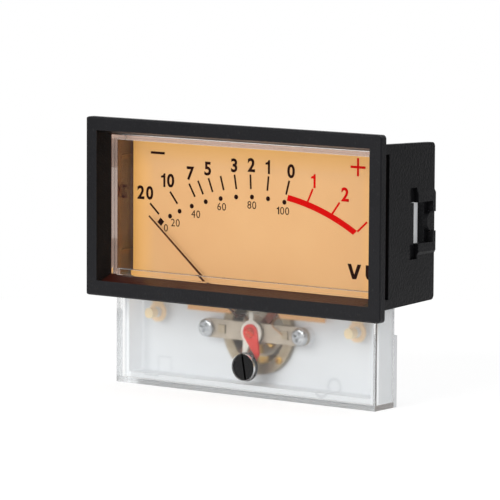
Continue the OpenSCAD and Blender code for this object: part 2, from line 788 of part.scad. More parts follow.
// Band from just past 0 dB to the end of the scale
module red_band() {
    start = signal_angle(signal_of(0)) + 1;
    end = signal_angle(signal_of(3)) - 0.3;
    step = (end - start) / 24;
    r = scale_r - dots_inset + 0.55;
    polygon([
        for (i = [0:24]) arc_point(start + i * step, r + band_w),
        for (i = [24:-1:0]) arc_point(start + i * step, r)
    ]);
}

module scale_red()
    color([0.85, 0.05, 0.03]) ink() {
        red_band();
        for (decibel = decibels) if (decibel > 0) tick(decibel);
        // plus sign
        translate([head_half_w - sign_inset, window_top - sign_drop]) {
            square([sign_len, sign_w], center = true);
            square([sign_w, sign_len], center = true);
        }
    }

// ---- Fixed movement ----

module bridge_outline(half_len)
    strip([-half_len, 0], [half_len, 0], bridge_h);

module front_bridge()
    color([0.62, 0.6, 0.57]) translate([0, 0, pivot_z])
        difference() {
            union() {
                along_y(bridge_y, bridge_back) bridge_outline(screw_x);
                rod(jewel_screw_r + screw_boss, bridge_y - 0.5, bridge_y + e);
            }
            rod(jewel_screw_r + thread_gap, bridge_y - 1, bridge_back + 1);
            for (x = [-1, 1]) {
                rod(screw_r + thread_gap, bridge_y - 1, bridge_back + 1, x * screw_x);
                along_y(bridge_y - 1, bridge_back + 1)
                    translate([x * tenon_x, 0]) square(tenon_w + 2 * thread_gap, center = true);
            }
        }

// Pan-head screw pointing to the rear, its head's underside at y = 0
module pan_screw(head_r, head_h, r, len) {
    cross = head_r * 0.28;
    difference() {
        rotate([90, 0, 0]) rotate_extrude()
            polygon([
                [0, 0], [head_r, 0], [head_r, head_h * 0.45],
                for (a = [15:15:75])
                    [head_r * (0.62 + 0.38 * cos(a)), head_h * (0.45 + 0.55 * sin(a))],
                [head_r * 0.62, head_h], [0, head_h]
            ]);
        for (turn = [0, 90])
            rotate([0, turn + 20, 0])
                block(-head_r * 0.55, head_r * 0.55, -head_h - 1, -head_h * 0.4,
                      -cross / 2, cross / 2);
    }
    rod(r, -e, len);
}

module bridge_screws()
    color([0.8, 0.81, 0.83])
        for (x = [-1, 1])
            translate([x * screw_x, bridge_y, pivot_z])
                pan_screw(screw_head_r, screw_head_h, screw_r, screw_len);

module yoke_ring()
    color([0.5, 0.47, 0.43]) translate([0, 0, pivot_z])
        difference() {
            rod(yoke_r, yoke_y, yoke_back);
            rod(yoke_bore_r, yoke_y - 1, yoke_back + 1);
            // holes for the tenons, the shunt screw and the rear screws
            for (x = [-1, 1]) {
                rod(tenon_pin_r + thread_gap, yoke_y - 1, yoke_y + tenon_pin_len + 0.2,
                    x * tenon_x);
                rod(rear_screw_r + thread_gap, yoke_back - 3, yoke_back + 1, x * tenon_x);
            }
            rotate([0, shunt_angle, 0])
                rod(rear_screw_r + thread_gap, yoke_y - 1, yoke_y + 2.2, 0, shunt_r);
        }

module yoke_tenons()
    color([0.75, 0.72, 0.68])
        for (x = [-1, 1]) translate([x * tenon_x, 0, pivot_z]) {
            along_y(bridge_y - tenon_proud, bridge_back + e) square(tenon_w, center = true);
            along_y(bridge_back, yoke_y)
                square(tenon_w + 2 * tenon_shoulder, center = true);
            rod(tenon_pin_r, yoke_y - e, yoke_y + tenon_pin_len);
        }

module shunt_screw()
    color([0.85, 0.68, 0.3]) about_pivot(shunt_angle) translate([0, yoke_y, shunt_r])
        pan_screw(shunt_head_r, 0.55, rear_screw_r, 2);

module core_magnet()
    color([0.45, 0.44, 0.43])
        rod(core_r, core_y, core_back, 0, pivot_z);

// Brass blocks that hold the core in the yoke, above and below
module core_spacers()
    color([0.8, 0.65, 0.35]) translate([0, 0, pivot_z])
        difference() {
            intersection() {
                rod(yoke_bore_r, core_y + 0.5, core_back - 0.5);
                block(-spacer_w / 2, spacer_w / 2, core_y, core_back, -yoke_r, yoke_r);
            }
            rod(core_r, core_y, core_back);
        }

module rear_bridge()
    color([0.62, 0.6, 0.57]) translate([0, 0, pivot_z]) {
        // stud that holds the rear hairspring's outer end
        block(-stem_w / 2, stem_w / 2, rear_hairspring_y, yoke_back + e,
              anchor_r, stem_reach);
        difference() {
            along_y(yoke_back, rear_bridge_back) {
                bridge_outline(yoke_r - bridge_h / 2);
                strip([0, 0], [0, anchor_r], stem_w);
            }
            rod(jewel_screw_r + thread_gap, yoke_back - 1, rear_bridge_back + 1);
            for (x = [-1, 1])
                rod(rear_screw_r + thread_gap, yoke_back - 1, rear_bridge_back + 1,
                    x * tenon_x);
        }
    }

module rear_bridge_screws()
    color([0.8, 0.81, 0.83])
        for (x = [-1, 1])
            translate([x * tenon_x, rear_bridge_back, pivot_z])
                rotate([0, 0, 180]) pan_screw(rear_head_r, 0.6, rear_screw_r, 3.2);

// Jewel screw between two ends, bored at the end that faces the coil
module jewel_screw(slot_end, bore_end) {
    s = sign(bore_end - slot_end);
    lo = min(slot_end, bore_end);
    hi = max(slot_end, bore_end);
    bore_lo = s > 0 ? hi - pivot_depth - 0.2 : lo - 1;
    bore_hi = s > 0 ? hi + 1 : lo + pivot_depth + 0.2;
    slot_lo = s > 0 ? lo - 1 : hi - 0.35;
    slot_hi = s > 0 ? lo + 0.35 : hi + 1;
    translate([0, 0, pivot_z]) difference() {
        rod(jewel_screw_r, lo, hi);
        rod(pivot_r + pivot_clearance, bore_lo, bore_hi);
        rotate([0, 30, 0]) block(-2, 2, slot_lo, slot_hi, -0.2, 0.2);
    }
}

module front_jewel_screw()
    color([0.78, 0.6, 0.3]) jewel_screw(lever_y - 0.25, bridge_back + 0.1);

module rear_jewel_screw()
    color([0.78, 0.6, 0.3]) jewel_screw(rear_screw_back, yoke_back - 0.1);

// ---- Moving coil ----

// The moving system is drawn with its pointer straight up, then turned to zero
module moving() about_pivot(zero_angle) children();

module coil_loop(inner_half, thickness, width, front, back) {
    outer = inner_half + thickness;
    difference() {
        block(-outer, outer, front, back, -width / 2, width / 2);
        block(-inner_half, inner_half, front + thickness, back - thickness, -width, width);
    }
}

module coil_former()
    color([0.8, 0.8, 0.82]) moving()
        coil_loop(former_half, former_t, former_w, former_y, former_back);

module coil_winding()
    color([0.72, 0.4, 0.2]) moving()
        coil_loop(former_half + former_t, winding_t, winding_w, winding_y, winding_back);

// Steel pivots, each with the collet that carries a hairspring
module front_pivot()
    color([0.75, 0.76, 0.78]) translate([0, 0, pivot_z]) {
        rod(pivot_r, bridge_back + 0.1 - pivot_depth, winding_y);
        rod(collet_r, hairspring_y, arm_y);
    }

module rear_pivot()
    color([0.75, 0.76, 0.78]) translate([0, 0, pivot_z]) {
        rod(pivot_r, winding_back, yoke_back - 0.1 + pivot_depth);
        rod(collet_r, winding_back, yoke_back - 0.15);
    }

module pointer()
    color([0.16, 0.1, 0.07]) moving() {
        difference() {
            along_y(arm_y, arm_y + pointer_t) {
                circle(1.5);
                translate([-0.4, 0]) square([0.8, crank_r + 0.25]);
                for (a = weight_angles)
                    rotate(-a) translate([-0.2, 0]) square([0.4, weight_end]);
            }
            rod(pivot_r, arm_y - 1, arm_y + pointer_t + 1);
        }
        // crank through the dial's arch
        block(-0.4, 0.4, needle_y - needle_t / 2, arm_y + pointer_t,
              crank_r - 0.25, crank_r + 0.25);
        // needle in front of the dial
        along_y(needle_y - needle_t / 2, needle_y + needle_t / 2)
            polygon([
                [-needle_w / 2, crank_r], [needle_w / 2, crank_r],
                [needle_tip_w / 2, pointer_len], [-needle_tip_w / 2, pointer_len]
            ]);
    }

module balance_weights()
    color([0.8, 0.7, 0.45]) moving()
        for (a = weight_angles) rotate([0, a, 0]) difference() {
            translate([0, weight_y, weight_end - weight_len])
                cylinder(r = weight_r, h = weight_len);
            block(-0.2, 0.2, arm_y, arm_y + pointer_t, 0, weight_end + 1);
        }

// Flat spiral from its collet to its anchor at the top
module hairspring_strip() {
    inner = collet_r + 0.05;
    steps = 24 * hairspring_turns;
    function radius(i) = inner + (anchor_r - hairspring_t - inner) * i / steps;
    function direction(i) = [sin(15 * i), cos(15 * i)];
    polygon([
        for (i = [0:steps]) radius(i) * direction(i),
        for (i = [steps:-1:0]) (radius(i) + hairspring_t) * direction(i)
    ]);
}

module front_hairspring()
    color([0.75, 0.55, 0.3]) translate([0, 0, pivot_z])
        along_y(hairspring_y, hairspring_y + hairspring_h) hairspring_strip();

module rear_hairspring()
    color([0.75, 0.55, 0.3]) translate([0, 0, pivot_z])
        along_y(rear_hairspring_y, rear_hairspring_y + hairspring_h) hairspring_strip();

// ---- Zero adjustment ----

module zero_fork()
    color([0.95, 0.94, 0.9]) translate([0, 0, pivot_z])
        difference() {
            union() {
                along_y(fork_y, fork_y + lever_t) {
                    circle(fork_ring_r);
                    translate([-stem_w / 2, 0]) square([stem_w, stem_reach]);
                    tapered_strip([-1.2, -1.6], 1.2, fork_knee, prong_w / 2);
                    strip(fork_knee, [-prong_x, prong_top], prong_w);
                    strip([-prong_x, prong_top], [-prong_x, prong_end], prong_w);
                }
                // tab bent back over the bridge to the front hairspring
                block(-stem_w / 2, stem_w / 2, fork_y, hairspring_y + hairspring_h + 0.05,
                      anchor_r, stem_reach);
            }
            rod(lever_bore_r, fork_y - 1, fork_y + lever_t + 1);
        }

module zero_lever()
    color([0.88, 0.2, 0.17]) translate([0, 0, pivot_z])
        difference() {
            along_y(lever_y, lever_y + lever_t) {
                tapered_strip([0, 0], lever_head_r, lever_knee, 0.75);
                strip(lever_knee, [prong_x, prong_top], prong_w);
                strip([prong_x, prong_top], [prong_x, prong_end], prong_w);
            }
            rod(lever_bore_r, lever_y - 1, lever_y + lever_t + 1);
        }

module zero_adjuster()
    color([0.07, 0.07, 0.08]) translate([0, 0, adjuster_z]) {
        difference() {
            rod(adjuster_r, adjuster_face, collar_y + e);
            rotate([0, slot_tilt, 0])
                block(-slot_w / 2, slot_w / 2, adjuster_face - 1, adjuster_face + slot_depth,
                      -adjuster_r - 1, adjuster_r + 1);
        }
        rod(adjuster_r + collar_reach, collar_y, collar_y + collar_t);
        rod(pin_r, collar_y, fork_y + lever_t + 0.1, 0, -pin_throw);
    }

// ---- Lamps and terminals ----

module lamp()
    translate([0, base_back + 0.4, 0]) rotate([90, 0, 0]) rotate_extrude()
        polygon([
            [0, 0], [lamp_r, 0], [lamp_r, lamp_len - lamp_r],
            for (a = [15:15:90])
                [lamp_r * cos(a), lamp_len - lamp_r + lamp_r * sin(a)]
        ]);

module lamp_left() color([0.95, 0.9, 0.75]) translate([-lamp_x, 0, 0]) lamp();

module lamp_right() color([0.95, 0.9, 0.75]) translate([lamp_x, 0, 0]) lamp();

module lamp_grommets()
    color([0.12, 0.12, 0.12]) both_sides() translate([lamp_x, 0, 0])
        difference() {
            union() {
                rod(grommet_r, base_back - base_wall - 0.6, base_back + e);
                rod(grommet_r + 0.8, base_back, base_back + grommet_flange_t);
            }
            rod(lamp_r + thread_gap, 0, base_back + 0.4);
            for (x = [-0.8, 0.8])
                rod(lamp_pin_r + thread_gap, base_back, base_back + 3, x);
        }

module lamp_pins()
    color([0.8, 0.8, 0.8]) both_sides() translate([lamp_x, 0, 0])
        for (x = [-0.8, 0.8])
            rod(lamp_pin_r, base_back + 0.4, base_back + 0.4 + lamp_pin_len, x);

// Solder tag with a collar that seats on the base's rear face
module terminal()
    translate([0, 0, terminal_z]) difference() {
        union() {
            block(-terminal_w / 2, terminal_w / 2, base_back - base_wall - 0.8,
                  base_back + terminal_out, -terminal_t / 2, terminal_t / 2);
            block(-terminal_w / 2 - 0.6, terminal_w / 2 + 0.6, base_back, base_back + 0.5,
                  -terminal_t / 2 - 0.5, terminal_t / 2 + 0.5);
        }
        translate([0, base_back + terminal_out - 1.5, -terminal_t])
            cylinder(r = terminal_hole_r, h = 2 * terminal_t);
    }

module terminal_plus() color([0.82, 0.8, 0.75]) translate([terminal_x, 0, 0]) terminal();

module terminal_minus() color([0.82, 0.8, 0.75]) translate([-terminal_x, 0, 0]) terminal();

// ---- Lead wires ----

// Tube swept along a list of points
module tube(path, r, sides = 8) {
    n = len(path);
    function tangent(i) =
        let (d = path[min(i + 1, n - 1)] - path[max(i - 1, 0)]) d / norm(d);
    function side_axis(t) =
        let (c = cross(t, abs(t[0]) < 0.8 ? [1, 0, 0] : [0, 0, 1])) c / norm(c);
    points = [
        for (i = [0:n - 1])
            let (t = tangent(i), u = side_axis(t), v = cross(t, u))
                for (k = [0:sides - 1])
                    path[i] + r * (u * cos(360 * k / sides) + v * sin(360 * k / sides))
    ];
    faces = [
        [for (k = [0:sides - 1]) k],
        for (i = [0:n - 2], k = [0:sides - 1])
            let (a = i * sides + k, b = i * sides + (k + 1) % sides)
                each [[a, a + sides, b + sides], [a, b + sides, b]],
        [for (k = [sides - 1:-1:0]) (n - 1) * sides + k]
    ];
    polyhedron(points, faces);
}

module front_lead() color([0.75, 0.6, 0.4]) tube(front_lead_path, wire_r);

module rear_lead() color([0.75, 0.6, 0.4]) tube(rear_lead_path, wire_r);

// ---- Nodes ----

front_frame();
clear_cover();
rear_base();
dial_plate();
scale_black();
scale_red();
front_bridge();
bridge_screws();
yoke_ring();
yoke_tenons();
shunt_screw();
core_magnet();
core_spacers();
rear_bridge();
rear_bridge_screws();
front_jewel_screw();
rear_jewel_screw();
coil_former();
coil_winding();
front_pivot();
rear_pivot();
pointer();
balance_weights();
front_hairspring();
rear_hairspring();
zero_fork();
zero_lever();
zero_adjuster();
lamp_left();
lamp_right();
lamp_grommets();
lamp_pins();
terminal_plus();
terminal_minus();
front_lead();
rear_lead();
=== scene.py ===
"""Panel meter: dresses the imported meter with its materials, dial numbers, lights and camera."""

import bmesh
import bpy
from mathutils import Matrix, Vector


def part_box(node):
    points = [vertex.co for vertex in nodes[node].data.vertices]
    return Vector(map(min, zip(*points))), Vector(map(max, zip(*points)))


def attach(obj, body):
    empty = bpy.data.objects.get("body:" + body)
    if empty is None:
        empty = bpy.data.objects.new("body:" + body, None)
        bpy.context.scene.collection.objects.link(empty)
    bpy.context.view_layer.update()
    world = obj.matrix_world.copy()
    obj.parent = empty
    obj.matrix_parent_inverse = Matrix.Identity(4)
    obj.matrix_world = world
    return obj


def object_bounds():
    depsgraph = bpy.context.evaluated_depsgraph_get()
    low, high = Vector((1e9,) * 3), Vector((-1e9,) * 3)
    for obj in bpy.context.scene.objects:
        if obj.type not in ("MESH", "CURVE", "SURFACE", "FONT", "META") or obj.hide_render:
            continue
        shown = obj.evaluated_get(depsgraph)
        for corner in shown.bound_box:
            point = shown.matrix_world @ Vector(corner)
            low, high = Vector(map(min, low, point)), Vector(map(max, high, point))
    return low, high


MM = 0.001
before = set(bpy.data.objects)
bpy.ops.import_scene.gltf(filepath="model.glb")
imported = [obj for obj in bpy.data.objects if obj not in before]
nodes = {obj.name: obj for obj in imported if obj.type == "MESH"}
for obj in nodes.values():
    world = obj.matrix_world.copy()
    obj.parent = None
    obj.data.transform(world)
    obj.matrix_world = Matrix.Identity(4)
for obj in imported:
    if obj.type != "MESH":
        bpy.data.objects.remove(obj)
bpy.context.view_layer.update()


# ---- Node helpers ----

FLOAT = "NodeSocketFloat"
COLOUR = "NodeSocketColor"
VECTOR = "NodeSocketVector"

# Places of the sockets that a Mix node uses for colours
MIX_FACTOR = 0
MIX_FIRST = 6
MIX_SECOND = 7
MIX_RESULT = 2


def add(tree, kind, place=(0, 0), **values):
    """A node of the tree, with its settings given by name."""
    made = tree.nodes.new(kind)
    made.location = place
    for name, value in values.items():
        setattr(made, name, value)
    return made


def join(tree, source, target):
    """Links an output socket to an input socket."""
    tree.links.new(source, target)


def feed(tree, value, target):
    """Gives an input socket its link, or its plain value."""
    if isinstance(value, bpy.types.NodeSocket):
        join(tree, value, target)
    else:
        target.default_value = value


def math_node(tree, operation, first, second=None):
    """The output of a Math node whose inputs are sockets or numbers."""
    made = add(tree, "ShaderNodeMath", operation=operation)
    feed(tree, first, made.inputs[0])
    if second is not None:
        feed(tree, second, made.inputs[1])
    return made.outputs[0]


def mix_colours(tree, factor, first, second):
    """The output of a colour mix whose inputs are sockets or values."""
    made = add(tree, "ShaderNodeMix", data_type="RGBA")
    feed(tree, factor, made.inputs[MIX_FACTOR])
    feed(tree, first, made.inputs[MIX_FIRST])
    feed(tree, second, made.inputs[MIX_SECOND])
    return made.outputs[MIX_RESULT]


def spread(tree, value, low, high, to_low=0.0, to_high=1.0):
    """A value moved from one range to another and held inside it."""
    made = add(tree, "ShaderNodeMapRange", clamp=True)
    join(tree, value, made.inputs["Value"])
    made.inputs["From Min"].default_value = low
    made.inputs["From Max"].default_value = high
    made.inputs["To Min"].default_value = to_low
    made.inputs["To Max"].default_value = to_high
    return made.outputs["Result"]


def between(tree, share, low, high):
    """The value that lies a share of the way from low to high."""
    width = math_node(tree, "SUBTRACT", high, low)
    part = math_node(tree, "MULTIPLY", share, width)
    return math_node(tree, "ADD", part, low)


def coordinate(tree, axis):
    """One coordinate of the point, in metres, as a socket."""
    split = add(tree, "ShaderNodeSeparateXYZ")
    join(tree, add(tree, "ShaderNodeTexCoord").outputs["Object"], split.inputs[0])
    return split.outputs[axis]


def off_middle(tree):
    """Distance of the point from the meter's upright middle plane, to either side."""
    return math_node(tree, "ABSOLUTE", coordinate(tree, "X"))


def inside_box(tree, centre, half):
    """Mask that is 1 inside a box given by its centre and half sizes in millimetres."""
    mask = None
    for axis, middle, reach in zip("XYZ", centre, half):
        from_middle = math_node(tree, "SUBTRACT", coordinate(tree, axis), middle * MM)
        away = math_node(tree, "ABSOLUTE", from_middle)
        within = math_node(tree, "LESS_THAN", away, reach * MM)
        mask = within if mask is None else math_node(tree, "MULTIPLY", mask, within)
    return mask


def noise(tree, scale, detail, roughness=0.5):
    """A noise pattern that stays on its piece, with its scale from a socket."""
    made = add(tree, "ShaderNodeTexNoise")
    made.inputs["Detail"].default_value = detail
    made.inputs["Roughness"].default_value = roughness
    join(tree, add(tree, "ShaderNodeTexCoord").outputs["Object"], made.inputs["Vector"])
    join(tree, scale, made.inputs["Scale"])
    return made.outputs["Fac"]


def start_group(name, inputs, outputs):
    """A shader node group with named sockets, and its input and output nodes."""
    tree = bpy.data.node_groups.new(name, "ShaderNodeTree")
    for label, kind, value in inputs:
        socket = tree.interface.new_socket(name=label, in_out="INPUT", socket_type=kind)
        socket.default_value = value
    for label, kind in outputs:
        tree.interface.new_socket(name=label, in_out="OUTPUT", socket_type=kind)
    return tree, add(tree, "NodeGroupInput", (-900, 0)), add(tree, "NodeGroupOutput", (600, 0))


# ---- Effects that several materials share ----

# How far the normal agrees with its surroundings where an edge starts, and where it is full
EDGE_STARTS = 0.995
EDGE_FULL = 0.85
RUB_SAMPLES = 4
ROUNDING_SAMPLES = 6


def make_mould_grain():
    """Fine spark-eroded grain of moulded plastic, with slow waviness under it."""
    tree, given, out = start_group(
        "Mould grain",
        [("Grain Scale", FLOAT, 6000.0), ("Waviness Scale", FLOAT, 90.0), ("Waviness", FLOAT, 0.3),
         ("Low Roughness", FLOAT, 0.4), ("High Roughness", FLOAT, 0.5)],
        [("Height", FLOAT), ("Roughness", FLOAT)],
    )
    fine = noise(tree, given.outputs["Grain Scale"], detail=2.0)
    slow = noise(tree, given.outputs["Waviness Scale"], detail=3.0)
    lift = math_node(tree, "MULTIPLY", slow, given.outputs["Waviness"])
    join(tree, math_node(tree, "ADD", fine, lift), out.inputs["Height"])
    roughness = between(tree, slow, given.outputs["Low Roughness"], given.outputs["High Roughness"])
    join(tree, roughness, out.inputs["Roughness"])
    return tree


def make_colour_drift():
    """Two close colours that drift into each other, with fine dust specks in a third."""
    tree, given, out = start_group(
        "Colour drift",
        [("Main Colour", COLOUR, (0.5, 0.5, 0.5, 1)), ("Second Colour", COLOUR, (0.4, 0.4, 0.4, 1)),
         ("Drift Scale", FLOAT, 60.0), ("Dust Colour", COLOUR, (0.7, 0.7, 0.68, 1)), ("Dust", FLOAT, 0.1),
         ("Dust Scale", FLOAT, 900.0)],
        [("Colour", COLOUR)],
    )
    clouds = noise(tree, given.outputs["Drift Scale"], detail=4.0)
    drift = spread(tree, clouds, low=0.35, high=0.65)
    base = mix_colours(tree, drift, given.outputs["Main Colour"], given.outputs["Second Colour"])
    grains = noise(tree, given.outputs["Dust Scale"], detail=3.0, roughness=0.7)
    specks = spread(tree, grains, low=0.6, high=0.72)
    dust = math_node(tree, "MULTIPLY", specks, given.outputs["Dust"])
    join(tree, mix_colours(tree, dust, base, given.outputs["Dust Colour"]), out.inputs["Colour"])
    return tree


def make_edge_rub_and_highlight():
    """Mask of the outer edges, where handling rubs a finish lighter and a painted highlight lightens it too.
    """
    tree, given, out = start_group(
        "Edge rub and highlight",
        [("Reach", FLOAT, 0.0003), ("Strength", FLOAT, 1.0), ("Breaks Scale", FLOAT, 400.0)],
        [("Mask", FLOAT)],
    )
    bevel = add(tree, "ShaderNodeBevel", samples=RUB_SAMPLES)
    join(tree, given.outputs["Reach"], bevel.inputs["Radius"])
    real = add(tree, "ShaderNodeNewGeometry")
    turned = add(tree, "ShaderNodeVectorMath", operation="DOT_PRODUCT")
    join(tree, bevel.outputs["Normal"], turned.inputs[0])
    join(tree, real.outputs["Normal"], turned.inputs[1])
    edge = spread(tree, turned.outputs["Value"], EDGE_STARTS, EDGE_FULL)
    breaks = noise(tree, given.outputs["Breaks Scale"], detail=3.0)
    broken = spread(tree, breaks, low=0.3, high=0.6, to_low=0.3)
    mask = math_node(tree, "MULTIPLY", edge, broken)
    join(tree, math_node(tree, "MULTIPLY", mask, given.outputs["Strength"]), out.inputs["Mask"])
    return tree


def make_rounded_edge():
    """Normal of a surface whose sharp edges are slightly rounded."""
    tree, given, out = start_group("Rounded edge", [("Radius", FLOAT, 0.0003)], [("Normal", VECTOR)])
    bevel = add(tree, "ShaderNodeBevel", samples=ROUNDING_SAMPLES)
    join(tree, given.outputs["Radius"], bevel.inputs["Radius"])
    join(tree, bevel.outputs["Normal"], out.inputs["Normal"])
    return tree


def make_metal_finish():
    """Fine drawn lines along X with faint stains, for stamped and plated metal."""
    tree, given, out = start_group(
        "Metal finish",
        [("Line Scale", FLOAT, 3000.0), ("Stretch", FLOAT, 0.08),
         ("Clean Colour", COLOUR, (0.7, 0.7, 0.7, 1)), ("Stained Colour", COLOUR, (0.5, 0.48, 0.44, 1)),
         ("Stain Scale", FLOAT, 250.0), ("Low Roughness", FLOAT, 0.25), ("High Roughness", FLOAT, 0.45)],
        [("Colour", COLOUR), ("Roughness", FLOAT), ("Height", FLOAT)],
    )
    stretch = add(tree, "ShaderNodeCombineXYZ")
    join(tree, given.outputs["Stretch"], stretch.inputs["X"])
    stretch.inputs["Y"].default_value = 1.0
    stretch.inputs["Z"].default_value = 1.0
    drawn = add(tree, "ShaderNodeVectorMath", operation="MULTIPLY")
    join(tree, add(tree, "ShaderNodeTexCoord").outputs["Object"], drawn.inputs[0])
    join(tree, stretch.outputs["Vector"], drawn.inputs[1])
    lines = add(tree, "ShaderNodeTexNoise")
    lines.inputs["Detail"].default_value = 3.0
    join(tree, drawn.outputs["Vector"], lines.inputs["Vector"])
    join(tree, given.outputs["Line Scale"], lines.inputs["Scale"])
    clouds = noise(tree, given.outputs["Stain Scale"], detail=5.0)
    stains = spread(tree, clouds, low=0.4, high=0.7)
    colour = mix_colours(tree, stains, given.outputs["Clean Colour"], given.outputs["Stained Colour"])
    join(tree, colour, out.inputs["Colour"])
    low = given.outputs["Low Roughness"]
    high = given.outputs["High Roughness"]
    join(tree, between(tree, lines.outputs["Fac"], low, high), out.inputs["Roughness"])
    join(tree, lines.outputs["Fac"], out.inputs["Height"])
    return tree


def make_moulding_flow():
    """Faint flow ripples and handling haze of clear mouldings."""
    tree, given, out = start_group(
        "Moulding flow",
        [("Ripple Scale", FLOAT, 120.0), ("Haze Scale", FLOAT, 200.0), ("Low Roughness", FLOAT, 0.0),
         ("High Roughness", FLOAT, 0.05)],
        [("Height", FLOAT), ("Roughness", FLOAT)],
    )
    ripples = noise(tree, given.outputs["Ripple Scale"], detail=1.0)
    join(tree, ripples, out.inputs["Height"])
    haze = noise(tree, given.outputs["Haze Scale"], detail=3.0)
    roughness = between(tree, haze, given.outputs["Low Roughness"], given.outputs["High Roughness"])
    join(tree, roughness, out.inputs["Roughness"])
    return tree


MOULD_GRAIN = make_mould_grain()
COLOUR_DRIFT = make_colour_drift()
EDGE_RUB_AND_HIGHLIGHT = make_edge_rub_and_highlight()
ROUNDED_EDGE = make_rounded_edge()
METAL_FINISH = make_metal_finish()
MOULDING_FLOW = make_moulding_flow()


# ---- Materials ----


def start_material(name):
    """A material with its Principled shader."""
    made = bpy.data.materials.new(name)
    made.use_nodes = True
    shader = made.node_tree.nodes["Principled BSDF"]
    return made, made.node_tree, shader


def place_group(tree, group, **values):
    """The group as a node of the tree, its inputs set by name with _ for a space."""
    made = add(tree, "ShaderNodeGroup", (-500, 0), node_tree=group)
    for name, value in values.items():
        made.inputs[name.replace("_", " ")].default_value = value
    return made


def source_of(socket):
    """The output that an input socket is linked to."""
    return socket.links[0].from_socket


def bump(tree, height, shader, strength, distance, rounding=0.0):
    """Relief on the surface, over edges that may be rounded by a small radius."""
    made = add(tree, "ShaderNodeBump", (-200, -300))
    made.inputs["Strength"].default_value = strength
    made.inputs["Distance"].default_value = distance
    join(tree, height, made.inputs["Height"])
    if rounding:
        edge = place_group(tree, ROUNDED_EDGE, Radius=rounding)
        join(tree, edge.outputs["Normal"], made.inputs["Normal"])
    join(tree, made.outputs["Normal"], shader.inputs["Normal"])


def rgb(red, green, blue):
    """A colour given as it is seen, from 0 to 255, as the shader wants it."""
    def linear(part):
        part = part / 255
        return part / 12.92 if part <= 0.04045 else ((part + 0.055) / 1.055) ** 2.4
    return (linear(red), linear(green), linear(blue), 1.0)


def moulded_plastic(name, main, second, low, high, dust=0.1, rub_and_highlight=0.0, rub_and_highlight_colour=None, grain=6000.0,
                    relief=0.00001, specular=0.5):
    """Opaque moulded plastic with grain, drifting colour, dust, and edges lightened by rubbing and by a
    painted highlight.
    """
    made, tree, shader = start_material(name)
    drift = place_group(tree, COLOUR_DRIFT, Main_Colour=main, Second_Colour=second, Dust=dust)
    colour = drift.outputs["Colour"]
    # Rubbed edges: lighter from handling wear and from a painted edge highlight
    if rub_and_highlight:
        edges = place_group(tree, EDGE_RUB_AND_HIGHLIGHT, Strength=rub_and_highlight)
        colour = mix_colours(tree, edges.outputs["Mask"], colour, rub_and_highlight_colour)
    join(tree, colour, shader.inputs["Base Color"])
    texture = place_group(tree, MOULD_GRAIN, Grain_Scale=grain, Low_Roughness=low, High_Roughness=high)
    join(tree, texture.outputs["Roughness"], shader.inputs["Roughness"])
    bump(tree, texture.outputs["Height"], shader, strength=1.0, distance=relief)
    shader.inputs["Specular IOR Level"].default_value = specular
    return made


# Places on the front frame that carry painted reflection and light of the amber dial, each as its centre and
# half sizes in millimetres
SURROUND = ((0, 5, 0.25), (42.3, 7.05, 19.9))
BEHIND_COVER = ((0, 7.5, 0.45), (41.65, 5.7, 17.9))
LOWER_SILL = ((0, 3, -18.6), (39.95, 5.05, 1.6))

# Where painted shade darkens the sides behind the flange, and how much
FLANGE_SHADE_STARTS = 0.1 * MM
FLANGE_SHADE_FULL = 0.3 * MM
FLANGE_SHADE = 0.6
SURROUND_COAT = 0.4
SURROUND_COAT_ROUGHNESS = 0.12


def frame_plastic():
    """Black plastic, spark-eroded outside and polished where it looks at the dial, with painted shade on its
    sides behind the flange and painted amber reflection and light of the dial around its window.
    """
    made = moulded_plastic("frame_black_plastic", rgb(29, 29, 32), rgb(26, 26, 29), 0.42, 0.52,
                           dust=0.015, rub_and_highlight=0.4, rub_and_highlight_colour=rgb(60, 61, 64), grain=2200.0,
                           relief=0.00014, specular=0.18)
    tree = made.node_tree
    shader = tree.nodes["Principled BSDF"]
    depth = coordinate(tree, "Y")
    # Painted shade: the sides behind the flange turn towards a deeper black
    painted_flange_shade = spread(tree, depth, FLANGE_SHADE_STARTS, FLANGE_SHADE_FULL, 0.0, FLANGE_SHADE)
    outside = source_of(shader.inputs["Base Color"])
    outside = mix_colours(tree, painted_flange_shade, outside, rgb(17, 17, 19))
    # Painted reflection: the surround gets a real coat, and a dark amber-brown colour that stands in for the
    # dial reflected in it
    polished = inside_box(tree, *SURROUND)
    dressed = mix_colours(tree, polished, outside, rgb(16, 9, 6))
    # Painted amber light and reflection of the dial on the faces behind the cover and on the lower sill
    dressed = mix_colours(tree, inside_box(tree, *BEHIND_COVER), dressed, rgb(84, 26, 10))
    dressed = mix_colours(tree, inside_box(tree, *LOWER_SILL), dressed, rgb(56, 16, 6))
    join(tree, dressed, shader.inputs["Base Color"])
    join(tree, math_node(tree, "MULTIPLY", polished, SURROUND_COAT), shader.inputs["Coat Weight"])
    shader.inputs["Coat Roughness"].default_value = SURROUND_COAT_ROUGHNESS
    return made


# Mould marks on the tray's floor, in millimetres
SQUARE_MARK = (-30.0, 7.0, -40.5)
ROUND_MARK = (22.5, 7.0, -41.2)
MARK_HALF = 2.2
MARK_LINE = 0.35
MARK_DEPTH = 6.0
MARK_ROOM = 1.0
MARK_STRENGTH = 0.4

# Places on the white base that get painted light, each as its centre and half sizes in millimetres
RIM = ((0, 11.85, 0), (41, 0.12, 20))
PEGS = ((0.0, 5.0, -26.85), (33.5, 3.2, 2.6))
TRAY_WALL = ((-37.3, 6.0, -31.5), (0.7, 6.0, 14.0))
FLANKS = ((0.0, 15.0, 0.0), (41.0, 7.0, 9.0))
PEGS_START = 20 * MM
FLANKS_START = 38.2 * MM

# Strength of the painted glow that lifts the base's shade, and the share of a brighter painted glow on its
# flanks and pegs
BASE_GLOW = 0.3
FLANK_GLOW = 0.75
PEG_GLOW = 0.25


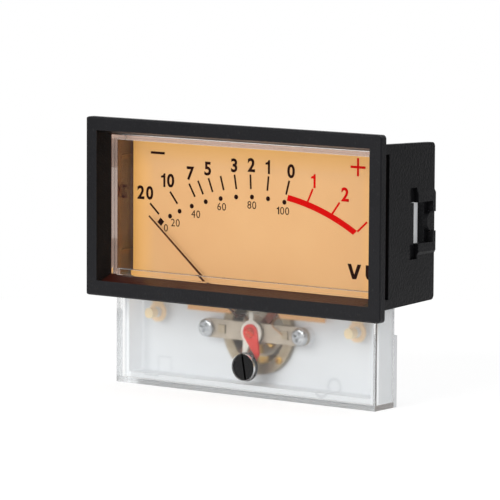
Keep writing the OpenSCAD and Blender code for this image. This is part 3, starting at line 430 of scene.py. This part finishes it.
def pressed_marks(tree):
    """Thin square and round outlines that the moulding tool leaves on the tray's floor."""
    inner_half = MARK_HALF - MARK_LINE
    room_half = MARK_HALF + MARK_ROOM
    outer = inside_box(tree, SQUARE_MARK, (MARK_HALF, MARK_DEPTH, MARK_HALF))
    inner = inside_box(tree, SQUARE_MARK, (inner_half, MARK_DEPTH, inner_half))
    square = math_node(tree, "SUBTRACT", outer, inner)
    across = math_node(tree, "SUBTRACT", coordinate(tree, "X"), ROUND_MARK[0] * MM)
    up = math_node(tree, "SUBTRACT", coordinate(tree, "Z"), ROUND_MARK[2] * MM)
    across_squared = math_node(tree, "MULTIPLY", across, across)
    up_squared = math_node(tree, "MULTIPLY", up, up)
    radius = math_node(tree, "SQRT", math_node(tree, "ADD", across_squared, up_squared))
    off_ring = math_node(tree, "ABSOLUTE", math_node(tree, "SUBTRACT", radius, inner_half * MM))
    ring = math_node(tree, "LESS_THAN", off_ring, MARK_LINE * MM)
    near = inside_box(tree, ROUND_MARK, (room_half, MARK_DEPTH, room_half))
    return math_node(tree, "MAXIMUM", square, math_node(tree, "MULTIPLY", ring, near))


def base_plastic():
    """White plastic with a painted glow that lifts its shade, painted amber light of the dial where it meets
    the cover's rim and on its pegs, and a stronger painted glow on its flanks and the tray's left wall.
    """
    made = moulded_plastic("white_base_plastic", rgb(218, 220, 222), rgb(213, 215, 217), 0.35, 0.5,
                           dust=0.08, grain=3000.0, relief=0.000006)
    tree = made.node_tree
    shader = tree.nodes["Principled BSDF"]
    plain = source_of(shader.inputs["Base Color"])
    # Painted amber light of the dial on the base where it meets the cover's rim
    painted_amber_rim = mix_colours(tree, inside_box(tree, *RIM), plain, rgb(214, 168, 140))
    marks = math_node(tree, "MULTIPLY", pressed_marks(tree), MARK_STRENGTH)
    marked = mix_colours(tree, marks, painted_amber_rim, rgb(160, 164, 168))
    away = off_middle(tree)
    beside_cup = math_node(tree, "GREATER_THAN", away, PEGS_START)
    # Painted amber light of the dial on the pegs, in their colour and in a share of the glow
    pegs = math_node(tree, "MULTIPLY", inside_box(tree, *PEGS), beside_cup)
    join(tree, mix_colours(tree, pegs, marked, rgb(228, 202, 152)), shader.inputs["Base Color"])
    at_flank = math_node(tree, "GREATER_THAN", away, FLANKS_START)
    flanks = math_node(tree, "MULTIPLY", at_flank, inside_box(tree, *FLANKS))
    lit_flanks = math_node(tree, "MULTIPLY", flanks, FLANK_GLOW)
    lit_pegs = math_node(tree, "MULTIPLY", pegs, PEG_GLOW)
    # Painted glow that lifts the shade, brighter on the tray's left wall, the flanks and the pegs
    lit = math_node(tree, "MAXIMUM", inside_box(tree, *TRAY_WALL), lit_flanks)
    lit = math_node(tree, "MAXIMUM", lit, lit_pegs)
    glow = mix_colours(tree, lit, rgb(146, 148, 150), rgb(234, 235, 236))
    join(tree, glow, shader.inputs["Emission Color"])
    shader.inputs["Emission Strength"].default_value = BASE_GLOW
    return made


METAL_RELIEF = 0.000004


def metal(name, clean, stained, low, high, lines=3000.0, stretch=0.08):
    """Bare or plated metal with drawn lines and faint stains."""
    made, tree, shader = start_material(name)
    finish = place_group(tree, METAL_FINISH, Clean_Colour=clean, Stained_Colour=stained, Line_Scale=lines,
                         Stretch=stretch, Low_Roughness=low, High_Roughness=high)
    join(tree, finish.outputs["Colour"], shader.inputs["Base Color"])
    join(tree, finish.outputs["Roughness"], shader.inputs["Roughness"])
    bump(tree, finish.outputs["Height"], shader, strength=1.0, distance=METAL_RELIEF)
    shader.inputs["Metallic"].default_value = 1.0
    return made


RIPPLE_RELIEF = 0.000002
CLEAR_ROUGHNESS = 0.03
COVER_TINT = (0.985, 0.99, 0.99, 1)
COVER_IOR = 1.49
BULB_TINT = (1.0, 0.96, 0.88, 1)
BULB_IOR = 1.45


def clear_plastic(name, tint, ior, rounding=0.0):
    """Clear moulded plastic that bends light, and lets lamps and soft light through."""
    made, tree, shader = start_material(name)
    flow = place_group(tree, MOULDING_FLOW, Low_Roughness=0.0, High_Roughness=CLEAR_ROUGHNESS)
    join(tree, flow.outputs["Roughness"], shader.inputs["Roughness"])
    bump(tree, flow.outputs["Height"], shader, strength=0.5, distance=RIPPLE_RELIEF, rounding=rounding)
    shader.inputs["Base Color"].default_value = tint
    shader.inputs["Transmission Weight"].default_value = 1.0
    shader.inputs["IOR"].default_value = ior
    shader.inputs["Metallic"].default_value = 0.0
    path = add(tree, "ShaderNodeLightPath")
    through = math_node(tree, "MAXIMUM", path.outputs["Is Shadow Ray"], path.outputs["Is Diffuse Ray"])
    passing = add(tree, "ShaderNodeBsdfTransparent")
    passing.inputs["Color"].default_value = tint
    mixed = add(tree, "ShaderNodeMixShader")
    join(tree, through, mixed.inputs["Fac"])
    join(tree, shader.outputs["BSDF"], mixed.inputs[1])
    join(tree, passing.outputs["BSDF"], mixed.inputs[2])
    join(tree, mixed.outputs["Shader"], tree.nodes["Material Output"].inputs["Surface"])
    return made


# The cover's clear window lies between these heights, and haze starts beyond them
HAZY_BELOW = -17.2 * MM
HAZY_ABOVE = 16.9 * MM
LOWER_FADE = 0.4 * MM
UPPER_FADE = 0.1 * MM
COVER_HAZE = 0.16
COVER_ROUNDING = 0.25 * MM

# The cover inside its edges, as centre and half sizes in millimetres, and the strength of the painted glow
# in its lower edges
INSIDE_EDGES = ((0.0, 4.0, 0.0), (39.5, 20.0, 43.6))
EDGE_LIGHT = 0.045


def cover_plastic():
    """The cover's clear plastic, hazy beyond its window, with a painted glow in its lower edges."""
    made = clear_plastic("clear_cover_plastic", COVER_TINT, COVER_IOR, COVER_ROUNDING)
    tree = made.node_tree
    shader = tree.nodes["Principled BSDF"]
    height = coordinate(tree, "Z")
    lower = spread(tree, height, HAZY_BELOW, HAZY_BELOW - LOWER_FADE, 0.0, COVER_HAZE)
    upper = spread(tree, height, HAZY_ABOVE, HAZY_ABOVE + UPPER_FADE, 0.0, COVER_HAZE)
    haze = math_node(tree, "MAXIMUM", lower, upper)
    handled = source_of(shader.inputs["Roughness"])
    join(tree, math_node(tree, "ADD", handled, haze), shader.inputs["Roughness"])
    edge = math_node(tree, "SUBTRACT", 1.0, inside_box(tree, *INSIDE_EDGES))
    below_window = spread(tree, height, HAZY_BELOW, HAZY_BELOW - LOWER_FADE)
    low_edge = math_node(tree, "MULTIPLY", edge, below_window)
    # Painted glow: the cover's lower edges give off pale light
    painted_edge_glow = mix_colours(tree, low_edge, (0, 0, 0, 1), rgb(214, 206, 200))
    join(tree, painted_edge_glow, shader.inputs["Emission Color"])
    shader.inputs["Emission Strength"].default_value = EDGE_LIGHT
    return made


# The dial's deeper amber border of painted shade starts and ends at these distances from its middle and
# heights
SIDE_BORDER_STARTS = 31.5 * MM
SIDE_BORDER_FULL = 38.5 * MM
TOP_BORDER_STARTS = 11.0 * MM
TOP_BORDER_FULL = 17.0 * MM
EARS_START = -18.5 * MM
EARS_FULL = -20.5 * MM
EARS_BESIDE = 24 * MM
DIAL_RELIEF = 0.000004
# Strength and warmth of the dial's painted glow, which stands in for light coming through it
DIAL_GLOW = 0.12
GLOW_WARMTH = 0.5


def dial_sheet():
    """Amber dial plate, printed on a white base, with a deeper amber border of painted shade and a painted
    glow as if lit softly through it.
    """
    made, tree, shader = start_material("amber_dial")
    drift = place_group(tree, COLOUR_DRIFT, Main_Colour=rgb(232, 180, 122), Second_Colour=rgb(228, 174, 117),
                        Dust_Colour=rgb(220, 166, 108), Dust=0.15, Drift_Scale=45.0)
    away = off_middle(tree)
    height = coordinate(tree, "Z")
    # Painted shade: the dial turns a deeper amber towards its sides and top, where the frame shades it
    beside = spread(tree, away, SIDE_BORDER_STARTS, SIDE_BORDER_FULL)
    above = spread(tree, height, TOP_BORDER_STARTS, TOP_BORDER_FULL)
    painted_border_shade = math_node(tree, "MAXIMUM", beside, above)
    sheet = mix_colours(tree, painted_border_shade, drift.outputs["Colour"], rgb(254, 190, 102))
    below = spread(tree, height, EARS_START, EARS_FULL)
    ears = math_node(tree, "MULTIPLY", below, math_node(tree, "GREATER_THAN", away, EARS_BESIDE))
    sheet = mix_colours(tree, ears, sheet, rgb(238, 212, 176))
    join(tree, sheet, shader.inputs["Base Color"])
    texture = place_group(tree, MOULD_GRAIN, Grain_Scale=4000.0, Low_Roughness=0.5, High_Roughness=0.65)
    join(tree, texture.outputs["Roughness"], shader.inputs["Roughness"])
    bump(tree, texture.outputs["Height"], shader, strength=0.6, distance=DIAL_RELIEF)
    # Painted glow: the dial gives off warm light of its own
    glow = mix_colours(tree, GLOW_WARMTH, sheet, rgb(236, 160, 90))
    join(tree, glow, shader.inputs["Emission Color"])
    shader.inputs["Emission Strength"].default_value = DIAL_GLOW
    return made


TURNS_SCALE = 1500.0
TURNS_WANDER = 0.4
TURNS_RELIEF = 0.00002
ENAMEL_METAL = 0.6


def coil_wire():
    """Turns of enamelled wire laid side by side round the former."""
    made, tree, shader = start_material("coil_wire")
    turns = add(tree, "ShaderNodeTexWave", wave_type="BANDS", bands_direction="DIAGONAL")
    turns.inputs["Scale"].default_value = TURNS_SCALE
    turns.inputs["Distortion"].default_value = TURNS_WANDER
    join(tree, add(tree, "ShaderNodeTexCoord").outputs["Object"], turns.inputs["Vector"])
    drift = place_group(tree, COLOUR_DRIFT, Main_Colour=rgb(176, 92, 48), Second_Colour=rgb(150, 70, 34),
                        Dust_Colour=rgb(200, 140, 90), Dust=0.2)
    crowns = spread(tree, turns.outputs["Fac"], low=0.1, high=0.5)
    enamel = mix_colours(tree, crowns, rgb(80, 34, 16), drift.outputs["Colour"])
    join(tree, enamel, shader.inputs["Base Color"])
    texture = place_group(tree, MOULD_GRAIN, Low_Roughness=0.25, High_Roughness=0.35)
    join(tree, texture.outputs["Roughness"], shader.inputs["Roughness"])
    bump(tree, turns.outputs["Fac"], shader, strength=0.8, distance=TURNS_RELIEF)
    shader.inputs["Metallic"].default_value = ENAMEL_METAL
    return made


def make_materials():
    """Every finish of the meter, with the nodes that wear it."""
    adjuster = moulded_plastic("adjuster_black_plastic", rgb(15, 15, 16), rgb(12, 12, 13), 0.2, 0.35,
                               dust=0.04, rub_and_highlight=0.4, rub_and_highlight_colour=rgb(70, 70, 74), relief=0.000004,
                               specular=0.25)
    fork = moulded_plastic("fork_white_enamel", rgb(240, 236, 226), rgb(232, 226, 214), 0.2, 0.35,
                           relief=0.000004)
    lever = moulded_plastic("lever_red_enamel", rgb(228, 40, 14), rgb(218, 34, 10), 0.2, 0.35,
                            dust=0.05, relief=0.000004)
    ink_black = moulded_plastic("scale_ink_black", rgb(42, 12, 4), rgb(36, 9, 2), 0.5, 0.6, dust=0.02,
                                relief=0.000003, specular=0.02)
    ink_red = moulded_plastic("scale_ink_red", rgb(230, 6, 3), rgb(222, 4, 2), 0.45, 0.55, dust=0.0,
                              relief=0.000003, specular=0.02)
    pointer = moulded_plastic("pointer_brown_paint", rgb(94, 50, 26), rgb(82, 42, 20), 0.4, 0.5,
                              relief=0.000003, specular=0.1)
    rubber = moulded_plastic("grommet_black_rubber", rgb(30, 30, 30), rgb(24, 24, 24), 0.6, 0.75,
                             dust=0.3)
    wire = moulded_plastic("lead_tan_enamel", rgb(190, 140, 84), rgb(176, 124, 70), 0.25, 0.4,
                           relief=0.000003)
    bulb = clear_plastic("lamp_bulb_glass", BULB_TINT, BULB_IOR)
    bridge = metal("bridge_satin_sheet", rgb(180, 168, 152), rgb(162, 150, 134), 0.4, 0.58)
    plated = metal("screw_zinc_plate", rgb(200, 202, 204), rgb(172, 175, 178), 0.16, 0.34, stretch=1.0)
    iron = metal("yoke_nickel_iron", rgb(174, 160, 138), rgb(148, 133, 110), 0.4, 0.6, lines=1500.0)
    brass = metal("turned_brass", rgb(226, 184, 98), rgb(200, 152, 70), 0.2, 0.4, stretch=1.0)
    lacquer = metal("screw_red_lacquer", rgb(214, 92, 70), rgb(176, 60, 44), 0.2, 0.35, stretch=1.0)
    alloy = metal("core_ground_alloy", rgb(206, 196, 180), rgb(182, 172, 156), 0.4, 0.6, stretch=1.0)
    aluminium = metal("former_aluminium", rgb(222, 222, 224), rgb(204, 204, 206), 0.25, 0.4)
    steel = metal("pivot_polished_steel", rgb(206, 208, 210), rgb(184, 186, 188), 0.08, 0.2, stretch=1.0)
    bronze = metal("spring_bronze", rgb(208, 156, 84), rgb(184, 128, 62), 0.2, 0.35)
    tinned = metal("tinned_tag", rgb(208, 204, 196), rgb(180, 174, 162), 0.25, 0.5, stretch=1.0)
    return {
        frame_plastic(): ["front_frame"],
        cover_plastic(): ["clear_cover"],
        base_plastic(): ["rear_base"],
        dial_sheet(): ["dial_plate"],
        ink_black: ["scale_black"],
        ink_red: ["scale_red"],
        bridge: ["front_bridge", "rear_bridge"],
        plated: ["bridge_screws", "rear_bridge_screws"],
        iron: ["yoke_ring", "yoke_tenons"],
        brass: ["shunt_screw", "core_spacers", "rear_jewel_screw", "balance_weights"],
        lacquer: ["front_jewel_screw"],
        alloy: ["core_magnet"],
        aluminium: ["coil_former"],
        coil_wire(): ["coil_winding"],
        steel: ["front_pivot", "rear_pivot"],
        bronze: ["front_hairspring", "rear_hairspring"],
        pointer: ["pointer"],
        fork: ["zero_fork"],
        lever: ["zero_lever"],
        adjuster: ["zero_adjuster"],
        bulb: ["lamp_left", "lamp_right"],
        rubber: ["lamp_grommets"],
        tinned: ["lamp_pins", "terminal_plus", "terminal_minus"],
        wire: ["front_lead", "rear_lead"],
    }


def dress_nodes():
    """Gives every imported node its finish, and returns the finishes by name."""
    finishes = make_materials()
    for finish, names in finishes.items():
        for name in names:
            mesh = nodes[name].data
            mesh.materials.clear()
            mesh.materials.append(finish)
    return {finish.name: finish for finish in finishes}


# ---- Mesh helpers ----


def finished_mesh(build, name):
    """The mesh of a build, which is then freed."""
    mesh = bpy.data.meshes.new(name)
    build.to_mesh(mesh)
    build.free()
    return mesh


def put_in_scene(name, data):
    """A new object of the scene that holds a mesh, curve, lamp or camera."""
    holder = bpy.data.objects.new(name, data)
    bpy.context.scene.collection.objects.link(holder)
    return holder


# ---- Numbers printed on the dial ----

# Each text with the place of its middle, across and up, in millimetres
DECIBEL_NUMBERS = [
    ("20", -34.6, 3.1), ("10", -27.5, 6.6), ("7", -20.3, 8.8), ("5", -14.9, 10.3), ("3", -6.7, 11.6),
    ("2", -1.4, 12.0), ("1", 3.6, 11.8), ("0", 10.7, 11.2),
]
OVER_NUMBERS = [("1", 17.4, 9.2), ("2", 26.9, 6.5), ("3", 35.3, 2.2)]
PERCENT_NUMBERS = [
    ("0", -28.0, -5.4), ("20", -25.0, -3.9), ("40", -18.6, -1.3), ("60", -10.5, 1.1), ("80", -1.2, 2.1),
    ("100", 8.3, 1.3),
]
UNIT_LETTERS = [("V", 29.8, -12.1), ("U", 35.0, -12.1)]

# Height in millimetres, added weight and width of each kind of printing
DECIBEL_STYLE = (3.45, 0.03, 1.0)
PERCENT_STYLE = (1.88, -0.003, 1.02)
UNIT_STYLE = (3.65, 0.04, 1.0)

# Outlines of the characters that the built-in letters draw too plainly, one unit tall
OWN_OUTLINES = {
    "1": [(0.22, 0.0), (0.4, 0.0), (0.4, 1.0), (0.27, 1.0), (0.2, 0.87), (0.0, 0.79), (0.0, 0.67),
          (0.22, 0.67)],
    "V": [(0.39, 0.0), (0.71, 0.0), (1.1, 1.0), (0.81, 1.0), (0.55, 0.3), (0.29, 1.0), (0.0, 1.0)],
    "U": [(0.3, 0.0), (0.7, 0.0), (0.9, 0.1), (1.0, 0.3), (1.0, 1.0), (0.72, 1.0), (0.72, 0.34),
          (0.62, 0.22), (0.38, 0.22), (0.28, 0.34), (0.28, 1.0), (0.0, 1.0), (0.0, 0.3), (0.1, 0.1)],
}
CHARACTER_GAP = 0.16
CURVE_STEPS = 5
PRINT_DEPTH = 0.04 * MM
MERGE_DISTANCE = 1e-7


def own_character(outline):
    """Flat mesh of one outlined character."""
    build = bmesh.new()
    build.faces.new([build.verts.new((x, y, 0)) for x, y in outline])
    build.normal_update()
    bmesh.ops.triangulate(build, faces=build.faces)
    return finished_mesh(build, "printing")


def built_in_character(character, weight, width):
    """Flat mesh of one character of Blender's own letters, one unit tall."""
    curve = bpy.data.curves.new("printing", "FONT")
    curve.body = character
    curve.size = 1.0
    curve.resolution_u = CURVE_STEPS
    curve.offset = weight
    holder = put_in_scene("printing", curve)
    bpy.context.view_layer.update()
    mesh = bpy.data.meshes.new_from_object(holder.evaluated_get(bpy.context.evaluated_depsgraph_get()))
    bpy.data.objects.remove(holder)
    left = min(v.co.x for v in mesh.vertices)
    low = min(v.co.y for v in mesh.vertices)
    scale = 1 / (max(v.co.y for v in mesh.vertices) - low)
    for v in mesh.vertices:
        v.co = ((v.co.x - left) * scale * width, (v.co.y - low) * scale, 0)
    return mesh


def glyphs(text, centre_x, centre_z, height, weight, width):
    """Mesh of a row of printed characters, centred on a point of the dial."""
    row = bmesh.new()
    pen = 0.0
    for character in text:
        if character in OWN_OUTLINES:
            mesh = own_character(OWN_OUTLINES[character])
        else:
            mesh = built_in_character(character, weight, width)
        for v in mesh.vertices:
            v.co.x += pen
        pen = max(v.co.x for v in mesh.vertices) + CHARACTER_GAP
        row.from_mesh(mesh)
        bpy.data.meshes.remove(mesh)
    middle = (pen - CHARACTER_GAP) / 2
    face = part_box("dial_plate")[0].y
    for v in row.verts:
        x = (v.co.x - middle) * height * MM + centre_x * MM
        z = (v.co.y - 0.5) * height * MM + centre_z * MM
        v.co = (x, face, z)
    return finished_mesh(row, "printing")


def printed(name, finish, *rows):
    """One piece of printing, made of several rows of characters."""
    build = bmesh.new()
    for characters, style in rows:
        for text, x, z in characters:
            mesh = glyphs(text, x, z, *style)
            build.from_mesh(mesh)
            bpy.data.meshes.remove(mesh)
    bmesh.ops.remove_doubles(build, verts=build.verts, dist=MERGE_DISTANCE)
    for face in build.faces:
        face.normal_update()
        if face.normal.y > 0:
            face.normal_flip()
    raised = bmesh.ops.extrude_face_region(build, geom=build.faces[:])
    tops = [part for part in raised["geom"] if isinstance(part, bmesh.types.BMVert)]
    bmesh.ops.translate(build, verts=tops, vec=(0, -PRINT_DEPTH, 0))
    bmesh.ops.recalc_face_normals(build, faces=build.faces)
    mesh = finished_mesh(build, name)
    mesh.materials.append(finish)
    return put_in_scene(name, mesh)


def print_dial(finishes):
    """Prints the dial's numbers and letters, which ride with the case."""
    black = printed(
        "dial_numbers_black", finishes["scale_ink_black"],
        (DECIBEL_NUMBERS, DECIBEL_STYLE),
        (PERCENT_NUMBERS, PERCENT_STYLE),
        (UNIT_LETTERS, UNIT_STYLE),
    )
    red = printed("dial_numbers_red", finishes["scale_ink_red"], (OVER_NUMBERS, DECIBEL_STYLE))
    for piece, slot in ((black, "ink_black"), (red, "ink_red")):
        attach(piece, "case")


# ---- Stage, lights and camera ----

FLOOR_RADIUS = 0.2
FLOOR_SIDES = 96
FLOOR_GAP = 0.0001
FLOOR_COLOUR = (0.8, 0.8, 0.8, 1)
FLOOR_SHADOW_COLOUR = (0.35, 0.35, 0.35, 1)
FLOOR_LIFT = 0.72

# Light of the room: what soft surfaces get, and what mirrors show away from the backdrop
SOFT_LIGHT = 0.55
ROOM_LEVEL = 0.06

# Directions at which the backdrop, the back wall and the table start to show, and are full
BACKDROP_SIDE = (-0.6, 0.8, 0.0)
BACKDROP_STARTS = 0.3
BACKDROP_FULL = 0.65
WALL_STARTS = -0.6
WALL_FULL = -0.2
TABLE_STARTS = -0.25
TABLE_FULL = -0.45

# Name, place, size and power of each softbox, in metres and watts
SOFTBOXES = [
    ("front_softbox", (-0.2, -1.12, 0.46), (1.0, 0.8), 9.1),
    ("side_softbox", (1.2, -0.1, 0.5), (0.7, 0.7), 1.35),
    ("top_softbox", (0.0, 0.3, 1.1), (0.8, 0.8), 3.0),
]
LIGHT_AIM = (0, 0, -0.01)

# The camera's lens and sensor in millimetres, its place in metres and its three directions
LENS = 273.78
SENSOR_WIDTH = 36.0
FARTHEST = 100.0
CAMERA_PLACE = (0.554695, -0.740292, 0.097271)
CAMERA_RIGHT = (0.80243338, 0.59671661, 0.00547283)
CAMERA_UP = (-0.07193991, 0.08762861, 0.99355215)
CAMERA_AHEAD = (-0.59238949, 0.79765313, -0.11324387)


def sight_mask(tree):
    """1 for rays that show the backdrop: straight from the camera, mirrored, or through clear plastic."""
    path = add(tree, "ShaderNodeLightPath")
    seen = math_node(tree, "MAXIMUM", path.outputs["Is Camera Ray"], path.outputs["Is Glossy Ray"])
    return math_node(tree, "MAXIMUM", seen, path.outputs["Is Transmission Ray"])


def floor_finish():
    """Pale matt finish, lifted towards white where it is seen and plain where it only returns light."""
    made, tree, shader = start_material("pale_floor")
    tree.nodes.remove(shader)
    plain = add(tree, "ShaderNodeBsdfDiffuse")
    plain.inputs["Color"].default_value = FLOOR_COLOUR
    faint = add(tree, "ShaderNodeBsdfDiffuse")
    faint.inputs["Color"].default_value = FLOOR_SHADOW_COLOUR
    lift = add(tree, "ShaderNodeEmission")
    lift.inputs["Strength"].default_value = FLOOR_LIFT
    shown = add(tree, "ShaderNodeAddShader")
    join(tree, faint.outputs[0], shown.inputs[0])
    join(tree, lift.outputs[0], shown.inputs[1])
    mixed = add(tree, "ShaderNodeMixShader")
    join(tree, sight_mask(tree), mixed.inputs["Fac"])
    join(tree, plain.outputs[0], mixed.inputs[1])
    join(tree, shown.outputs[0], mixed.inputs[2])
    join(tree, mixed.outputs[0], tree.nodes["Material Output"].inputs["Surface"])
    return made


def make_floor():
    """Round floor just under the meter, which shows its shadow."""
    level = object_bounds()[0][2] - FLOOR_GAP
    build = bmesh.new()
    bmesh.ops.create_circle(build, cap_ends=True, segments=FLOOR_SIDES, radius=FLOOR_RADIUS,
                            matrix=Matrix.Translation((0, 0, level)))
    mesh = finished_mesh(build, "floor")
    mesh.materials.append(floor_finish())
    put_in_scene("floor", mesh)


def make_world():
    """White backdrop, seen directly and mirrored where it stands, and an even soft light."""
    world = bpy.data.worlds.new("studio")
    bpy.context.scene.world = world
    world.use_nodes = True
    tree = world.node_tree
    back = tree.nodes["Background"]
    back.inputs["Color"].default_value = (1, 1, 1, 1)
    path = add(tree, "ShaderNodeLightPath")
    place = add(tree, "ShaderNodeTexCoord")
    facing = add(tree, "ShaderNodeVectorMath", operation="DOT_PRODUCT")
    join(tree, place.outputs["Generated"], facing.inputs[0])
    facing.inputs[1].default_value = BACKDROP_SIDE
    backdrop = spread(tree, facing.outputs["Value"], BACKDROP_STARTS, BACKDROP_FULL, ROOM_LEVEL, 1.0)
    shown = math_node(tree, "MULTIPLY", backdrop, path.outputs["Is Glossy Ray"])
    soft = math_node(tree, "MULTIPLY", path.outputs["Is Diffuse Ray"], SOFT_LIGHT)
    split = add(tree, "ShaderNodeSeparateXYZ")
    join(tree, place.outputs["Generated"], split.inputs[0])
    wall = spread(tree, split.outputs["Y"], WALL_STARTS, WALL_FULL, ROOM_LEVEL, 1.0)
    table = spread(tree, split.outputs["Z"], TABLE_STARTS, TABLE_FULL)
    room = math_node(tree, "MAXIMUM", wall, table)
    through = math_node(tree, "MULTIPLY", room, path.outputs["Is Transmission Ray"])
    level = math_node(tree, "MAXIMUM", math_node(tree, "MAXIMUM", shown, soft), through)
    level = math_node(tree, "MAXIMUM", level, path.outputs["Is Camera Ray"])
    join(tree, level, back.inputs["Strength"])


def area_light(name, place, size, power):
    """A rectangular softbox, turned towards the meter."""
    lamp = bpy.data.lights.new(name, "AREA")
    lamp.shape = "RECTANGLE"
    lamp.size = size[0]
    lamp.size_y = size[1]
    lamp.energy = power
    holder = put_in_scene(name, lamp)
    holder.location = place
    holder.rotation_euler = (Vector(LIGHT_AIM) - Vector(place)).to_track_quat("-Z", "Y").to_euler()


def make_camera():
    """Camera a little above the meter and to its right."""
    lens = bpy.data.cameras.new("camera")
    lens.lens = LENS
    lens.sensor_width = SENSOR_WIDTH
    lens.clip_end = FARTHEST
    holder = put_in_scene("camera", lens)
    turn = Matrix((Vector(CAMERA_RIGHT), Vector(CAMERA_UP), -Vector(CAMERA_AHEAD))).transposed()
    holder.matrix_world = Matrix.Translation(CAMERA_PLACE) @ turn.to_4x4()
    bpy.context.scene.camera = holder


def make_stage():
    """Sets up the floor, the backdrop, the lights and the camera."""
    bpy.context.scene.view_settings.view_transform = "Standard"
    make_floor()
    make_world()
    for softbox in SOFTBOXES:
        area_light(*softbox)
    make_camera()


finishes = dress_nodes()
print_dial(finishes)
make_stage()
